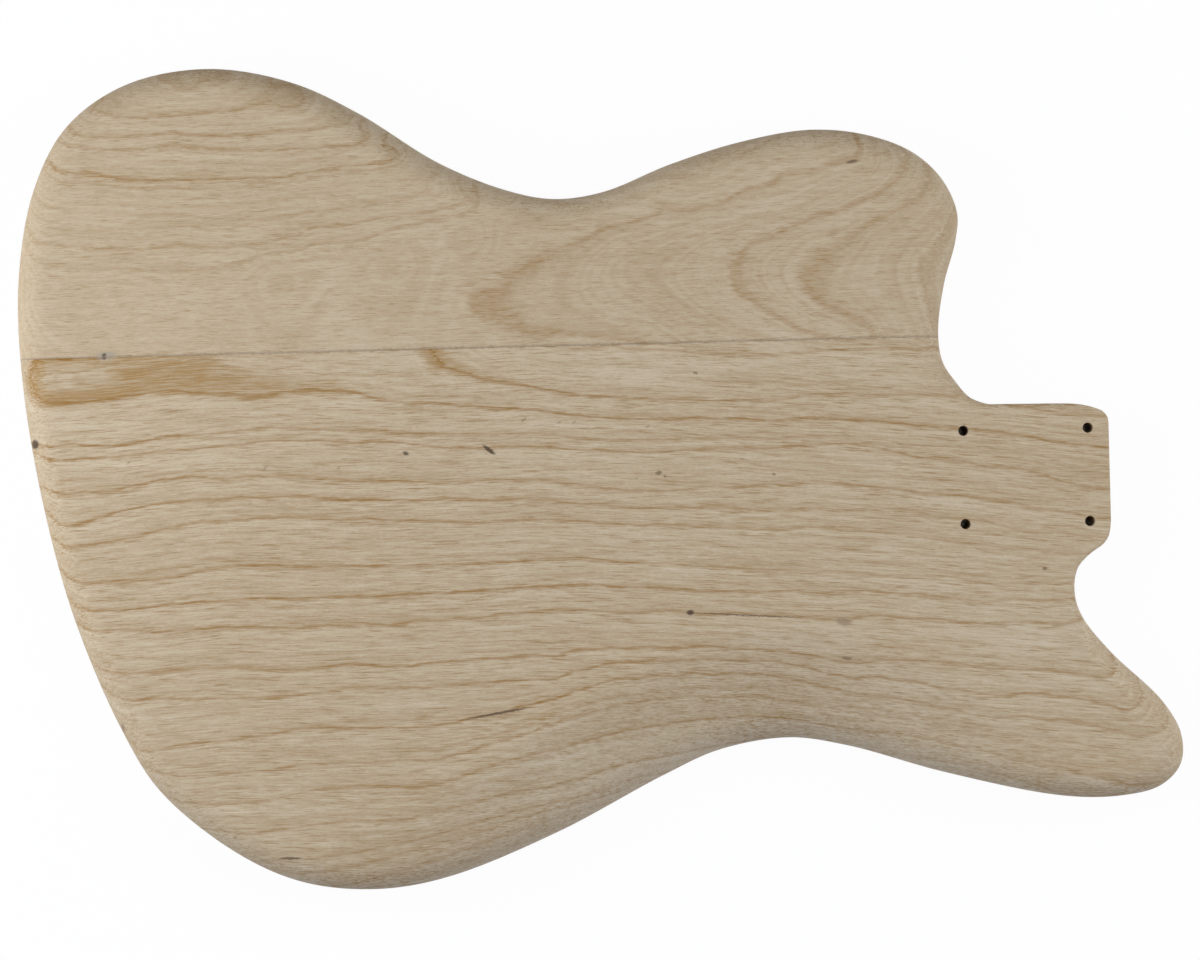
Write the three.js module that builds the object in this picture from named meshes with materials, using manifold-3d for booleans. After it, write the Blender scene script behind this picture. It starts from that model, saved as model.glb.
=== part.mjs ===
// Body of a bolt-on electric guitar with an offset waist, in raw ash: two boards glued edge to edge,
// shaped, rounded over, carved for the player's ribs and forearm, and routed from the front.
// It lies on its front face with its back up. X runs along the neck's centre line towards the neck,
// Y towards the treble side and Z out of the back. The origin is on the front face, where the
// bridge line crosses the neck's centre line. All lengths are in millimetres.
import * as THREE from 'three';
import { mergeVertices } from 'three/addons/utils/BufferGeometryUtils.js';
import Module from 'manifold-3d';

const wasm = await Module();
wasm.setup();

// Overall sizes of the body
const bodyLength = 474;
const bodyWidth = 339.6;
const bodyThickness = 44.5;
const edgeRadius = 12.7;

// Neck pocket and the heel around it
const bridgeToPocket = 179;
const pocketLength = 76.2;
const pocketWidth = 56;
const pocketDepth = 15.9;
const pocketCorner = 6.35;
const heelWall = 1.7;
const heelCorner = 9.5;
const heelEdge = 1.2;
const heelSideEdge = 3;

// Four neck screws through the pocket's floor
const screwSpacingX = 50.8;
const screwSpacingY = 38.1;
const screwHole = 4.2;
const screwInset = 8.7;

// Glued joint between the two boards
const seamFromCentre = 57.9;
const glueThickness = 0.2;

// Contours for the ribs on the back and the forearm on the front
const ribDepth = 19.5;
const ribReach = 47;
const ribStart = -103;
const ribMiddle = 104;
const ribEnd = 256;
const forearmDepth = 11;
const forearmReach = 56;
const forearmStart = -168;
const forearmMiddle = -62;
const forearmEnd = 40;

// Two pickup cavities, each wide enough for a soapbar coil
const pickupLength = 50;
const pickupWidth = 95;
const pickupDepth = 19;
const bridgePickupX = 41;
const neckPickupX = 141;
const routCorner = 6.35;

// Bridge posts and the vibrato unit behind them
const postSpacing = 73;
const postHole = 11.5;
const postDepth = 30;
const vibratoX = -86;
const vibratoLength = 70;
const vibratoWidth = 46;
const vibratoDepth = 27;

// Control cavity in the treble bout, switch cavity in the treble horn, slot in the bass horn
const controlX = -45;
const controlY = 85;
const controlLength = 150;
const controlWidth = 34;
const controlDepth = 37;
const switchX = 150;
const switchY = 104;
const switchHole = 34;
const switchDepth = 32;
const rhythmX = 152;
const rhythmY = -78;
const rhythmLength = 66;
const rhythmWidth = 20;
const rhythmDepth = 26;

// Channels for the wires
const channelWidth = 12;
const channelDepth = 15;
const switchChannelY = 88;

// Facets
const outlineSteps = 196;
const cornerSteps = 4;
const roundSteps = 6;
const carveSteps = 4;
const holeSides = 16;
const routSteps = 4;
const overrun = 10;

const heelEnd = bridgeToPocket + pocketLength;
const heelSide = pocketWidth / 2 + heelWall;

// Corner of the heel at the bass side and the cutaway beside it: how far before the heel's end, as
// a share of pocketLength, how far off centre, as a share of heelSide, and the roundover there, as
// a share of edgeRadius
const bassHeelShares = [
  [0.162, -1.946, 0.42],
  [0.202, -1.62, 0.2],
  [0.174, -1.29, 0.12],
  [0.09, -1.06, 0.1],
  [0.022, -0.885, 0.1],
  [0, -0.66, 0.1],
];

// Treble cutaway where it leaves the heel's side, in the same shares
const trebleHeelShares = [
  [0.645, 1, 0.24],
  [0.735, 1.1, 0.36],
  [0.808, 1.33, 0.56],
  [0.869, 1.61, 0.84],
];

// The rest of the outline, anticlockwise from the treble cutaway: along the length and across the
// width from the origin, as shares of bodyLength and bodyWidth
const outlineShares = [
  [0.396, 0.177],
  [0.402, 0.234],
  [0.413, 0.287],
  [0.415, 0.321],
  [0.402, 0.363],
  [0.377, 0.396],
  [0.338, 0.418],
  [0.289, 0.426],
  [0.227, 0.413],
  [0.166, 0.388],
  [0.108, 0.357],
  [0.065, 0.35],
  [0.024, 0.362],
  [-0.034, 0.397],
  [-0.103, 0.46],
  [-0.16, 0.499],
  [-0.232, 0.518],
  [-0.304, 0.501],
  [-0.356, 0.452],
  [-0.386, 0.376],
  [-0.401, 0.268],
  [-0.4, 0.147],
  [-0.385, -0.002],
  [-0.36, -0.144],
  [-0.321, -0.281],
  [-0.289, -0.356],
  [-0.225, -0.432],
  [-0.168, -0.47],
  [-0.105, -0.482],
  [-0.043, -0.471],
  [0.055, -0.421],
  [0.149, -0.356],
  [0.198, -0.327],
  [0.259, -0.314],
  [0.311, -0.325],
  [0.392, -0.358],
  [0.495, -0.389],
  [0.546, -0.39],
  [0.579, -0.379],
  [0.597, -0.353],
  [0.598, -0.317],
  [0.583, -0.2775],
  [0.538, -0.215],
];

// Roundover past the horn tip, where the bass cutaway begins, as a share of edgeRadius
const hornRoundShare = 0.85;
const wallLimitShare = 0.48;
const pocketWallShare = 0.5;

// Powers that shape a contour: how its slope grows from the flat face to the outline, and how its
// reach shrinks towards its two ends
const slopePower = 1.35;
const reachPower = 0.3;

function heelPoint([back, side, round]) {
  return new THREE.Vector3(heelEnd - back * pocketLength, side * heelSide, round * edgeRadius);
}

// Points of the outline seen from the back, anticlockwise. Each Vector3 holds x, y and, as z, the
// radius of the roundover there.
function outlinePoints() {
  const last = outlineShares.length - 1;
  const middle = outlineShares.map(([x, y], i) => new THREE.Vector3(
    x * bodyLength, y * bodyWidth, edgeRadius * (i === last ? hornRoundShare : 1)));
  const start = trebleHeelShares.map(heelPoint);
  start[0].z = heelSideEdge;
  const end = bassHeelShares.map(heelPoint);
  end[end.length - 1].z = heelEdge;
  const curve = new THREE.CatmullRomCurve3([...start, ...middle, ...end], false, 'centripetal');
  curve.arcLengthDivisions = 10 * outlineSteps;
  const corner = new THREE.EllipseCurve(
    heelEnd - heelCorner, heelSide - heelCorner, heelCorner, heelCorner, 0, Math.PI / 2);
  const cornerPoints = corner.getPoints(cornerSteps).map((p) => new THREE.Vector3(p.x, p.y, heelEdge));
  return [...cornerPoints, ...curve.getSpacedPoints(outlineSteps)];
}

// Stations of the outline, each with its roundover's radius and the direction into the wood
function outlineStations() {
  const points = outlinePoints();
  return points.map((point, i) => {
    const before = points.at(i - 1);
    const after = points[(i + 1) % points.length];
    const arriving = new THREE.Vector2(point.x - before.x, point.y - before.y).normalize();
    const leaving = new THREE.Vector2(after.x - point.x, after.y - point.y).normalize();
    const along = arriving.add(leaving).normalize();
    const inward = new THREE.Vector2(-along.y, along.x);
    return { x: point.x, y: point.y, radius: point.z, inward };
  });
}

const ribContour = {
  depth: ribDepth, reach: ribReach, start: ribStart, middle: ribMiddle, end: ribEnd,
};
const forearmContour = {
  depth: forearmDepth, reach: forearmReach,
  start: forearmStart, middle: forearmMiddle, end: forearmEnd,
};

// Smooth rise from 0 at the contour's start to 1 at its middle and fall to 0 at its end
function swell(x, { start, middle, end }) {
  const u = x < middle ? (x - start) / (middle - start) : (end - x) / (end - middle);
  return THREE.MathUtils.smoothstep(u, 0, 1);
}

// Depth of a contour at the outline and how far it reaches in, at one station. Only the outer edge
// on the bass side is contoured.
function contourAt(station, contour) {
  const outerBassEdge = station.y < -heelSide && station.inward.y > 0;
  const swelling = outerBassEdge ? swell(station.x, contour) : 0;
  return { depth: contour.depth * swelling, reach: contour.reach * swelling ** reachPower };
}

// Roundover of the back, limited by the wall that the two contours leave
function backRadius(station) {
  const wall = bodyThickness - contourAt(station, ribContour).depth
    - contourAt(station, forearmContour).depth;
  return Math.min(station.radius, wallLimitShare * wall);
}

// Roundover of the front, limited besides by the thin walls beside the neck pocket
function frontRadius(station) {
  const wall = Math.abs(station.y) - pocketWidth / 2;
  const limited = Math.max(heelEdge, pocketWallShare * wall);
  const radius = backRadius(station);
  return station.x > bridgeToPocket ? Math.min(radius, limited) : radius;
}

// Rings of points from the outline inwards over the roundover and the contour. The flat face lies
// at flatZ, and sink is 1 where the surface sinks in -Z, on the back, and -1 on the front.
function faceRings(stations, contour, radiusAt, flatZ, sink) {
  const rings = [];
  for (let k = 0; k <= roundSteps + carveSteps; k += 1) {
    const angle = (Math.min(k, roundSteps) / roundSteps) * (Math.PI / 2);
    const past = Math.max(k - roundSteps, 0) / carveSteps;
    rings.push(stations.map((station) => {
      const { depth, reach } = contourAt(station, contour);
      const radius = radiusAt(station);
      const edge = Math.max(reach, radius);
      const inset = radius * (1 - Math.cos(angle)) + past * (edge - radius);
      const carved = depth * (1 - inset / edge) ** slopePower;
      const rounded = radius * (1 - Math.sin(angle));
      return new THREE.Vector3(
        station.x + station.inward.x * inset,
        station.y + station.inward.y * inset,
        flatZ - sink * (carved + rounded));
    }));
  }
  return rings;
}

// Triangles that fill a flat ring, as indices that start at first
function flatFill(ring, first) {
  const flat = ring.map((point) => new THREE.Vector2(point.x, point.y));
  return THREE.ShapeUtils.triangulateShape(flat, []).map((face) => face.map((i) => first + i));
}

// One closed skin: front face, rings out to the side wall, rings back in, back face
function bodyGeometry() {
  const stations = outlineStations();
  const back = faceRings(stations, ribContour, backRadius, bodyThickness, 1);
  const front = faceRings(stations, forearmContour, frontRadius, 0, -1);
  const rings = [...front.reverse(), ...back];
  const count = stations.length;
  const indices = [];
  for (let r = 0; r < rings.length - 1; r += 1) {
    for (let i = 0; i < count; i += 1) {
      const next = (i + 1) % count;
      const [a, b] = [r * count + i, r * count + next];
      indices.push(a, b, b + count, a, b + count, a + count);
    }
  }
  for (const [a, b, c] of flatFill(rings[0], 0)) indices.push(a, c, b);
  indices.push(...flatFill(rings.at(-1), (rings.length - 1) * count).flat());
  const geometry = new THREE.BufferGeometry();
  const positions = rings.flat().flatMap((point) => point.toArray());
  geometry.setAttribute('position', new THREE.Float32BufferAttribute(positions, 3));
  geometry.setIndex(indices);
  return geometry;
}

// A three.js geometry with its shared vertices merged, as a solid that can be cut and joined
function solid(geometry) {
  const bare = geometry.clone();
  bare.deleteAttribute('normal');
  bare.deleteAttribute('uv');
  const merged = mergeVertices(bare);
  const index = merged.index.array;
  const triVerts = [];
  for (let i = 0; i < index.length; i += 3) {
    const [a, b, c] = [index[i], index[i + 1], index[i + 2]];
    if (a !== b && b !== c && c !== a) triVerts.push(a, b, c);
  }
  return new wasm.Manifold(new wasm.Mesh({
    numProp: 3,
    vertProperties: merged.attributes.position.array,
    triVerts: new Uint32Array(triVerts),
  }));
}

function toGeometry(manifold) {
  const mesh = manifold.getMesh();
  const geometry = new THREE.BufferGeometry();
  geometry.setAttribute('position', new THREE.BufferAttribute(mesh.vertProperties, 3));
  geometry.setIndex(new THREE.BufferAttribute(mesh.triVerts, 1));
  const faceted = geometry.toNonIndexed();
  faceted.computeVertexNormals();
  return faceted;
}

// A pocket routed from the front face, with corners rounded by the cutter
function rout(x, y, length, width, depth, corner) {
  const [right, top] = [length / 2, width / 2];
  const shape = new THREE.Shape();
  shape.absarc(right - corner, top - corner, corner, 0, Math.PI / 2);
  shape.absarc(corner - right, top - corner, corner, Math.PI / 2, Math.PI);
  shape.absarc(corner - right, corner - top, corner, Math.PI, 1.5 * Math.PI);
  shape.absarc(right - corner, corner - top, corner, 1.5 * Math.PI, 2 * Math.PI);
  const geometry = new THREE.ExtrudeGeometry(shape, {
    depth: depth + overrun, bevelEnabled: false, curveSegments: routSteps,
  });
  return solid(geometry.translate(x, y, -overrun));
}

// A round hole along Z between two heights
function drill(x, y, diameter, from, to) {
  const geometry = new THREE.CylinderGeometry(diameter / 2, diameter / 2, to - from, holeSides);
  geometry.rotateX(Math.PI / 2).translate(x, y, (from + to) / 2);
  return solid(geometry);
}

function neckPocket() {
  const length = pocketLength + overrun;
  return rout(bridgeToPocket + length / 2, 0, length, pocketWidth, pocketDepth, pocketCorner);
}

function neckScrewHoles() {
  const middle = heelEnd - screwInset - screwSpacingX / 2;
  const from = pocketDepth - overrun;
  const to = bodyThickness + overrun;
  return [-0.5, 0.5].flatMap((alongShare) => [-0.5, 0.5].map((acrossShare) => drill(
    middle + alongShare * screwSpacingX, acrossShare * screwSpacingY, screwHole, from, to)));
}

function pickupCavities() {
  return [bridgePickupX, neckPickupX].map((x) => rout(
    x, 0, pickupLength, pickupWidth, pickupDepth, routCorner));
}

function bridgeAndVibrato() {
  const posts = [-0.5, 0.5].map((acrossShare) => drill(
    0, acrossShare * postSpacing, postHole, -overrun, postDepth));
  const cavity = rout(vibratoX, 0, vibratoLength, vibratoWidth, vibratoDepth, routCorner);
  return [...posts, cavity];
}

function controlCavities() {
  const control = rout(
    controlX, controlY, controlLength, controlWidth, controlDepth, controlWidth / 2);
  const toggle = drill(switchX, switchY, switchHole, -overrun, switchDepth);
  const rhythm = rout(rhythmX, rhythmY, rhythmLength, rhythmWidth, rhythmDepth, routCorner);
  return [control, toggle, rhythm];
}

// A wire channel between two points that share x or y, widened to channelWidth
function channel(fromX, fromY, toX, toY) {
  const length = Math.abs(toX - fromX) + channelWidth;
  const width = Math.abs(toY - fromY) + channelWidth;
  const geometry = new THREE.BoxGeometry(length, width, channelDepth + overrun);
  return solid(geometry.translate(
    (fromX + toX) / 2, (fromY + toY) / 2, (channelDepth - overrun) / 2));
}

function wireChannels() {
  const controlEnd = controlX + controlLength / 2;
  const intoControl = controlEnd - controlWidth / 2;
  const pickupSide = pickupWidth / 2 - channelWidth;
  const bridgePickupEnd = bridgePickupX - pickupLength / 2;
  const controlChannelX = Math.max(bridgePickupEnd + channelWidth / 2, intoControl);
  return [
    channel(controlChannelX, pickupSide, controlChannelX, controlY),
    channel(intoControl, switchChannelY, switchX, switchChannelY),
    channel(neckPickupX, rhythmY, neckPickupX, -pickupSide),
    channel(bridgePickupX, 0, neckPickupX, 0),
  ];
}

// The part of the body between two planes across Y. The planes are set point by point, so that two
// boards cut by the same plane share it exactly.
function slab(body, fromY, toY) {
  const geometry = new THREE.BoxGeometry(4 * bodyLength, bodyWidth, 4 * bodyThickness);
  const points = geometry.attributes.position;
  for (let i = 0; i < points.count; i += 1) points.setY(i, points.getY(i) < 0 ? fromY : toY);
  return body.intersect(solid(geometry));
}

function pieceMesh(name, manifold, colour, roughness) {
  const material = new THREE.MeshStandardMaterial({ color: colour, roughness, metalness: 0 });
  const mesh = new THREE.Mesh(toGeometry(manifold), material);
  mesh.name = name;
  return mesh;
}

function guitarBody() {
  const cuts = [
    neckPocket(), ...neckScrewHoles(), ...pickupCavities(), ...bridgeAndVibrato(),
    ...controlCavities(), ...wireChannels(),
  ];
  const body = cuts.reduce((rest, cut) => rest.subtract(cut), solid(bodyGeometry()));
  const bassFace = seamFromCentre - glueThickness / 2;
  const trebleFace = seamFromCentre + glueThickness / 2;
  const group = new THREE.Group();
  group.add(
    pieceMesh('treble_side_board', slab(body, trebleFace, 2 * bodyWidth), '#b9a684', 0.75),
    pieceMesh('bass_side_board', slab(body, -2 * bodyWidth, bassFace), '#bba888', 0.75),
    pieceMesh('glue_line', slab(body, bassFace, trebleFace), '#8a7456', 0.6),
  );
  return group;
}

export default guitarBody();
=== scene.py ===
# Raw ash body of a bolt-on electric guitar with an offset waist, lying on its front face with its
# back up. The two glued boards and the glue line are made again with finer skins than the packed
# solids have, from the same shares and sizes, and get a wood that follows the growth rings.
import math

import bpy
import numpy as np
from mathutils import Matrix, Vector, geometry


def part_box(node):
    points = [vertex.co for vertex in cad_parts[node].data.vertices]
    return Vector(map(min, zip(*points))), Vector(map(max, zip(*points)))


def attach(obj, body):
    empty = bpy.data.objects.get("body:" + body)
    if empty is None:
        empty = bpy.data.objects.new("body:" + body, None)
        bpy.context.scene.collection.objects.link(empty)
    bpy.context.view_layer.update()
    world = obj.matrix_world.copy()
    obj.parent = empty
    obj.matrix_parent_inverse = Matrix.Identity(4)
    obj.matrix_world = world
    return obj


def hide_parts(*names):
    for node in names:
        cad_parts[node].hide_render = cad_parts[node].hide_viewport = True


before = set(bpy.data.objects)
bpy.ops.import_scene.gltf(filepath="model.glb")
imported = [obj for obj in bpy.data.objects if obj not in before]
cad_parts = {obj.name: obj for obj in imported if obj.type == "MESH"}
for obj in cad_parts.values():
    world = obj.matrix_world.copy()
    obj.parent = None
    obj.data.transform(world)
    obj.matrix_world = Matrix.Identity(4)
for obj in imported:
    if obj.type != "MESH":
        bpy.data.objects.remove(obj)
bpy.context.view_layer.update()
print("packed model loaded")

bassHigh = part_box("bass_side_board")[1]
bodyThickness, bassSeam = 1000 * bassHigh.z, 1000 * bassHigh.y  # in millimetres
trebleSeam = 1000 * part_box("treble_side_board")[0].y


def linear(hexColour):
    # sRGB hex to the linear values that shaders and lamps take
    parts = [int(hexColour[i:i + 2], 16) / 255 for i in (1, 3, 5)]
    return [c / 12.92 if c <= 0.04045 else ((c + 0.055) / 1.055) ** 2.4 for c in parts] + [1]


def addObject(name, data):
    # A new object at the origin
    made = bpy.data.objects.new(name, data)
    bpy.context.collection.objects.link(made)
    return made


def emptyTree(owner):
    # The node tree of a new material or world, with nothing in it
    owner.use_nodes = True
    owner.node_tree.nodes.clear()
    return owner.node_tree


def addNode(tree, kind, *inputs, output=0, **settings):
    # One node with its settings. Its inputs are values or other nodes' outputs, in order, or in
    # one dictionary by name
    node = tree.nodes.new(kind)
    for name, value in settings.items():
        setattr(node, name, value)
    byName = inputs[0] if inputs and isinstance(inputs[0], dict) else dict(enumerate(inputs))
    for name, value in byName.items():
        if isinstance(value, bpy.types.NodeSocket):
            tree.links.new(value, node.inputs[name])
        else:
            node.inputs[name].default_value = value
    return node.outputs[output] if node.outputs else node


camera = {
    # Place in metres, turn in degrees, lens and sensor in millimetres, as fitted to the photograph
    "x": 0.0470, "y": 0.0027, "height": 1.4045, "turn": -1.447, "lens": 100, "sensor": 36,
    "clipEnd": 50,
}
cameraData = bpy.data.cameras.new("camera")
cameraData.lens = camera["lens"]
cameraData.sensor_width = camera["sensor"]
cameraData.clip_end = camera["clipEnd"]
cameraObject = addObject("camera", cameraData)
cameraObject.location = (camera["x"], camera["y"], camera["height"])
cameraObject.rotation_euler = (0, 0, math.radians(camera["turn"]))
bpy.context.scene.camera = cameraObject
bpy.context.scene.view_settings.view_transform = "Standard"

studio = {
    # Places and sizes in metres. The floor is seen this near to pure white
    "floorSize": 12, "floorColour": "#e9e9ee", "showsWhite": 0.96, "aim": (0.05, 0, 0),
    "world": 0.24, "worldColour": "#edf1fb",
    # Soft boxes, which all face the aim: x, y, z, width, length, power, colour
    "boxes": [
        ("left soft box", -0.52, 0.05, 0.4, 0.4, 1.1, 4.85, "#ffffff"),
        ("right soft box", 0.75, 0.08, 0.6, 0.5, 1.1, 5.4, "#ffffff"),
        ("top soft box", 0.05, 1.0, 2.1, 1.0, 1.0, 3.5, "#ffffff"),
        ("low fill box", 0.05, -1.1, 0.3, 1.4, 0.4, 3.1, "#c3d8ff"),
    ],
    # Painted shade on the floor inside the neck pocket, where its white is turned off: middle,
    # half size, and how far out it has faded
    "pocketFloor": (0.2222, 0), "pocketShadeHalfSize": (0.0293, 0.0222), "pocketFade": 1.26,
}


def backgroundRay(tree):
    # 1 for camera, glossy and transmission rays, which see the white background
    rays = tree.nodes.new("ShaderNodeLightPath").outputs
    seen = addNode(tree, "ShaderNodeMath", rays["Is Camera Ray"], rays["Is Glossy Ray"],
                   operation="MAXIMUM")
    return addNode(tree, "ShaderNodeMath", seen, rays["Is Transmission Ray"],
                   operation="MAXIMUM")


def floorMaterial():
    # Matt paper: lit plainly, shown almost white, so that a trace of the body's shadow is left
    material = bpy.data.materials.new("matt_paper_floor")
    tree = emptyTree(material)
    paper = addNode(tree, "ShaderNodeBsdfDiffuse", {"Color": linear(studio["floorColour"])})
    white = addNode(tree, "ShaderNodeEmission", {"Color": (1, 1, 1, 1), "Strength": 1})
    # Painted shade: inside the neck pocket, which shows through the screw holes, the floor's white
    # is turned off, so that it shows dark as shade
    place = addNode(tree, "ShaderNodeTexCoord", output=3)
    for operation, other in (("SUBTRACT", (*studio["pocketFloor"], 0)), ("ABSOLUTE", (0, 0, 0)),
                             ("DIVIDE", (*studio["pocketShadeHalfSize"], 1))):
        place = addNode(tree, "ShaderNodeVectorMath", place, other, operation=operation)
    reach = addNode(tree, "ShaderNodeMath", operation="MAXIMUM", *[
        addNode(tree, "ShaderNodeSeparateXYZ", place, output=n) for n in (0, 1)])
    openFloor = addNode(tree, "ShaderNodeMapRange", reach, 1, studio["pocketFade"],
                        0, studio["showsWhite"], interpolation_type="SMOOTHSTEP")
    share = addNode(tree, "ShaderNodeMath", backgroundRay(tree), openFloor,
                    operation="MULTIPLY")
    mix = addNode(tree, "ShaderNodeMixShader", share, paper, white)
    addNode(tree, "ShaderNodeOutputMaterial", {"Surface": mix})
    return material


def makeStudio():
    half = studio["floorSize"] / 2
    mesh = bpy.data.meshes.new("floor")
    mesh.from_pydata([(-half, -half, 0), (half, -half, 0), (half, half, 0), (-half, half, 0)],
                     [], [(0, 1, 2, 3)])
    mesh.materials.append(floorMaterial())
    floor = addObject("floor", mesh)
    world = bpy.data.worlds.new("studio")
    bpy.context.scene.world = world
    tree = emptyTree(world)
    around = addNode(tree, "ShaderNodeBackground",
                     {"Color": linear(studio["worldColour"]), "Strength": studio["world"]})
    white = addNode(tree, "ShaderNodeBackground", {"Color": (1, 1, 1, 1), "Strength": 1})
    mix = addNode(tree, "ShaderNodeMixShader", backgroundRay(tree), around, white)
    addNode(tree, "ShaderNodeOutputWorld", {"Surface": mix})
    for name, x, y, z, width, length, power, colour in studio["boxes"]:
        lamp = bpy.data.lights.new(name, "AREA")
        lamp.shape = "RECTANGLE"
        lamp.size = width
        lamp.size_y = length
        lamp.energy = power
        lamp.color = linear(colour)[:3]
        lampObject = addObject(name, lamp)
        lampObject.location = (x, y, z)
        toBody = Vector(studio["aim"]) - lampObject.location
        lampObject.rotation_euler = toBody.to_track_quat("-Z", "Y").to_euler()


makeStudio()
print("camera, floor and light made")

body = {
    # In millimetres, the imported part's own sizes. The roundover is edgeRadius but for the heel's
    "length": 474, "width": 339.6, "edgeRadius": 12.7,
    "bridgeToPocket": 179, "pocketLength": 76.2, "pocketWidth": 56,
    "heelWall": 1.7, "heelEdge": 1.2, "heelSideEdge": 3,
    # Roundover at the bass cutaway, and its limits in the side's height and beside the pocket
    "hornRoundShare": 0.85, "wallLimitShare": 0.48, "pocketWallShare": 0.5,
    # How the contours curve down, and how their reach follows their depth
    "slopePower": 1.35, "reachPower": 0.3,
    # Mesh: steps along the outline and of the flat grid, rings over the roundover, the contours
    # and the side, how near the outline the grid comes, grid points tried at a time, points of
    # each curve, sharpest smooth edge
    "stationStep": 2.0, "gridStep": 2.2, "roundSteps": 10, "carveSteps": 16, "sideSteps": 6,
    "gridMargin": 0.6, "gridBlock": 2000, "curveSteps": 40, "cornerSteps": 6, "smoothAngle": 28,
}
# Deepest at the middle x and gone at the start and the end, all in millimetres
ribContour = {"depth": 19.5, "reach": 47, "start": -103, "middle": 104, "end": 256}
forearmContour = {"depth": 11, "reach": 56, "start": -168, "middle": -62, "end": 40}
heelEnd = body["bridgeToPocket"] + body["pocketLength"]
heelSide = body["pocketWidth"] / 2 + body["heelWall"]

# Back from the heel's end, off centre, roundover: shares of pocketLength, heelSide, edgeRadius
bassHeelShares = [
    (0.162, -1.946, 0.42), (0.202, -1.62, 0.2), (0.184, -1.29, 0.12), (0.128, -1.118, 0.1),
    (0.085, -1.036, 0.1), (0.047, -0.97, 0.1), (0.019, -0.879, 0.1), (0.008, -0.8, 0.1),
    (0, -0.66, 0.1),
]
trebleHeelShares = [
    (0.645, 1, 0.24), (0.735, 1.1, 0.36), (0.808, 1.33, 0.56), (0.869, 1.61, 0.84),
]
# Its treble corner, which the solids have as a plain arc: a slow curve, then a tight one
cornerShares = [
    (0, 0.64, 0.1), (0.001, 0.735, 0.1), (0.007, 0.795, 0.1), (0.03, 0.867, 0.1),
    (0.046, 0.889, 0.11), (0.098, 0.936, 0.14), (0.151, 0.967, 0.17), (0.205, 0.981, 0.19),
    (0.311, 0.989, 0.2),
]
# The rest of the outline, anticlockwise from the treble cutaway: shares of length and width
outlineShares = [
    (0.396, 0.177), (0.402, 0.234), (0.413, 0.287), (0.415, 0.321), (0.402, 0.363),
    (0.377, 0.396), (0.338, 0.418), (0.289, 0.426), (0.227, 0.413), (0.166, 0.388),
    (0.108, 0.357), (0.065, 0.35), (0.024, 0.362), (-0.034, 0.397), (-0.103, 0.46),
    (-0.16, 0.499), (-0.232, 0.518), (-0.304, 0.501), (-0.356, 0.452), (-0.386, 0.376),
    (-0.401, 0.268), (-0.4, 0.147), (-0.385, -0.002), (-0.36, -0.144), (-0.321, -0.281),
    (-0.289, -0.356), (-0.225, -0.432), (-0.168, -0.47), (-0.105, -0.482), (-0.043, -0.471),
    (0.055, -0.421), (0.149, -0.356), (0.198, -0.327), (0.259, -0.314), (0.311, -0.325),
    (0.392, -0.358), (0.495, -0.389), (0.546, -0.39), (0.579, -0.379), (0.597, -0.353),
    (0.598, -0.317), (0.583, -0.2775), (0.538, -0.215),
]


def smoothCurve(points, steps):
    # Smooth curve through the points, closely sampled, that doesn't overshoot where they crowd
    ends = np.vstack([2 * points[0] - points[1], points, 2 * points[-1] - points[-2]])
    gaps = np.maximum(np.sum(np.diff(ends, axis=0) ** 2, axis=1) ** 0.25, 1e-4)
    pieces = []
    for i in range(1, len(ends) - 2):
        p0, p1, p2, p3 = ends[i - 1:i + 3]
        d0, d1, d2 = gaps[i - 1:i + 2]
        t1 = ((p1 - p0) / d0 - (p2 - p0) / (d0 + d1) + (p2 - p1) / d1) * d1
        t2 = ((p2 - p1) / d1 - (p3 - p1) / (d1 + d2) + (p3 - p2) / d2) * d1
        u = np.linspace(0, 1, steps, endpoint=False)[:, None]
        pieces.append(p1 + t1 * u + (3 * (p2 - p1) - 2 * t1 - t2) * u ** 2
                      + (2 * (p1 - p2) + t1 + t2) * u ** 3)
    return np.vstack(pieces + [points[-1:]])


def outlineStations():
    # Rows of x, y and roundover, and the directions into the wood, anticlockwise round the body
    def heelPoint(row):
        return [heelEnd - row[0] * body["pocketLength"], row[1] * heelSide,
                row[2] * body["edgeRadius"]]

    start = [heelPoint(row) for row in trebleHeelShares]
    start[0][2] = body["heelSideEdge"]
    middle = [[x * body["length"], y * body["width"], body["edgeRadius"]]
              for x, y in outlineShares]
    middle[-1][2] *= body["hornRoundShare"]
    end = [heelPoint(row) for row in bassHeelShares]
    end[-1][2] = body["heelEdge"]
    curve = smoothCurve(np.array(start + middle + end, float), body["curveSteps"])
    corner = smoothCurve(np.array([heelPoint(row) for row in cornerShares], float),
                         body["cornerSteps"])
    loop = np.vstack([corner, curve, corner[:1]])
    run = np.concatenate([[0], np.cumsum(np.linalg.norm(np.diff(loop[:, :2], axis=0), axis=1))])
    count = int(run[-1] / body["stationStep"])
    places = np.linspace(0, run[-1], count, endpoint=False)
    stations = np.stack([np.interp(places, run, loop[:, k]) for k in range(3)], axis=1)
    ahead = np.roll(stations[:, :2], -1, axis=0) - stations[:, :2]
    ahead /= np.linalg.norm(ahead, axis=1)[:, None]
    along = ahead + np.roll(ahead, 1, axis=0)
    along /= np.linalg.norm(along, axis=1)[:, None]
    return stations, np.stack([-along[:, 1], along[:, 0]], axis=1)


stations, inward = outlineStations()


def contourAt(contour):
    # Depth at the outline and reach inwards of a contour, at each station
    x = stations[:, 0]
    rising = (x - contour["start"]) / (contour["middle"] - contour["start"])
    falling = (contour["end"] - x) / (contour["end"] - contour["middle"])
    u = np.clip(np.where(x < contour["middle"], rising, falling), 0, 1)
    swell = u * u * (3 - 2 * u)
    swell[(stations[:, 1] >= -heelSide) | (inward[:, 1] <= 0)] = 0
    return contour["depth"] * swell, contour["reach"] * swell ** body["reachPower"]


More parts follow.
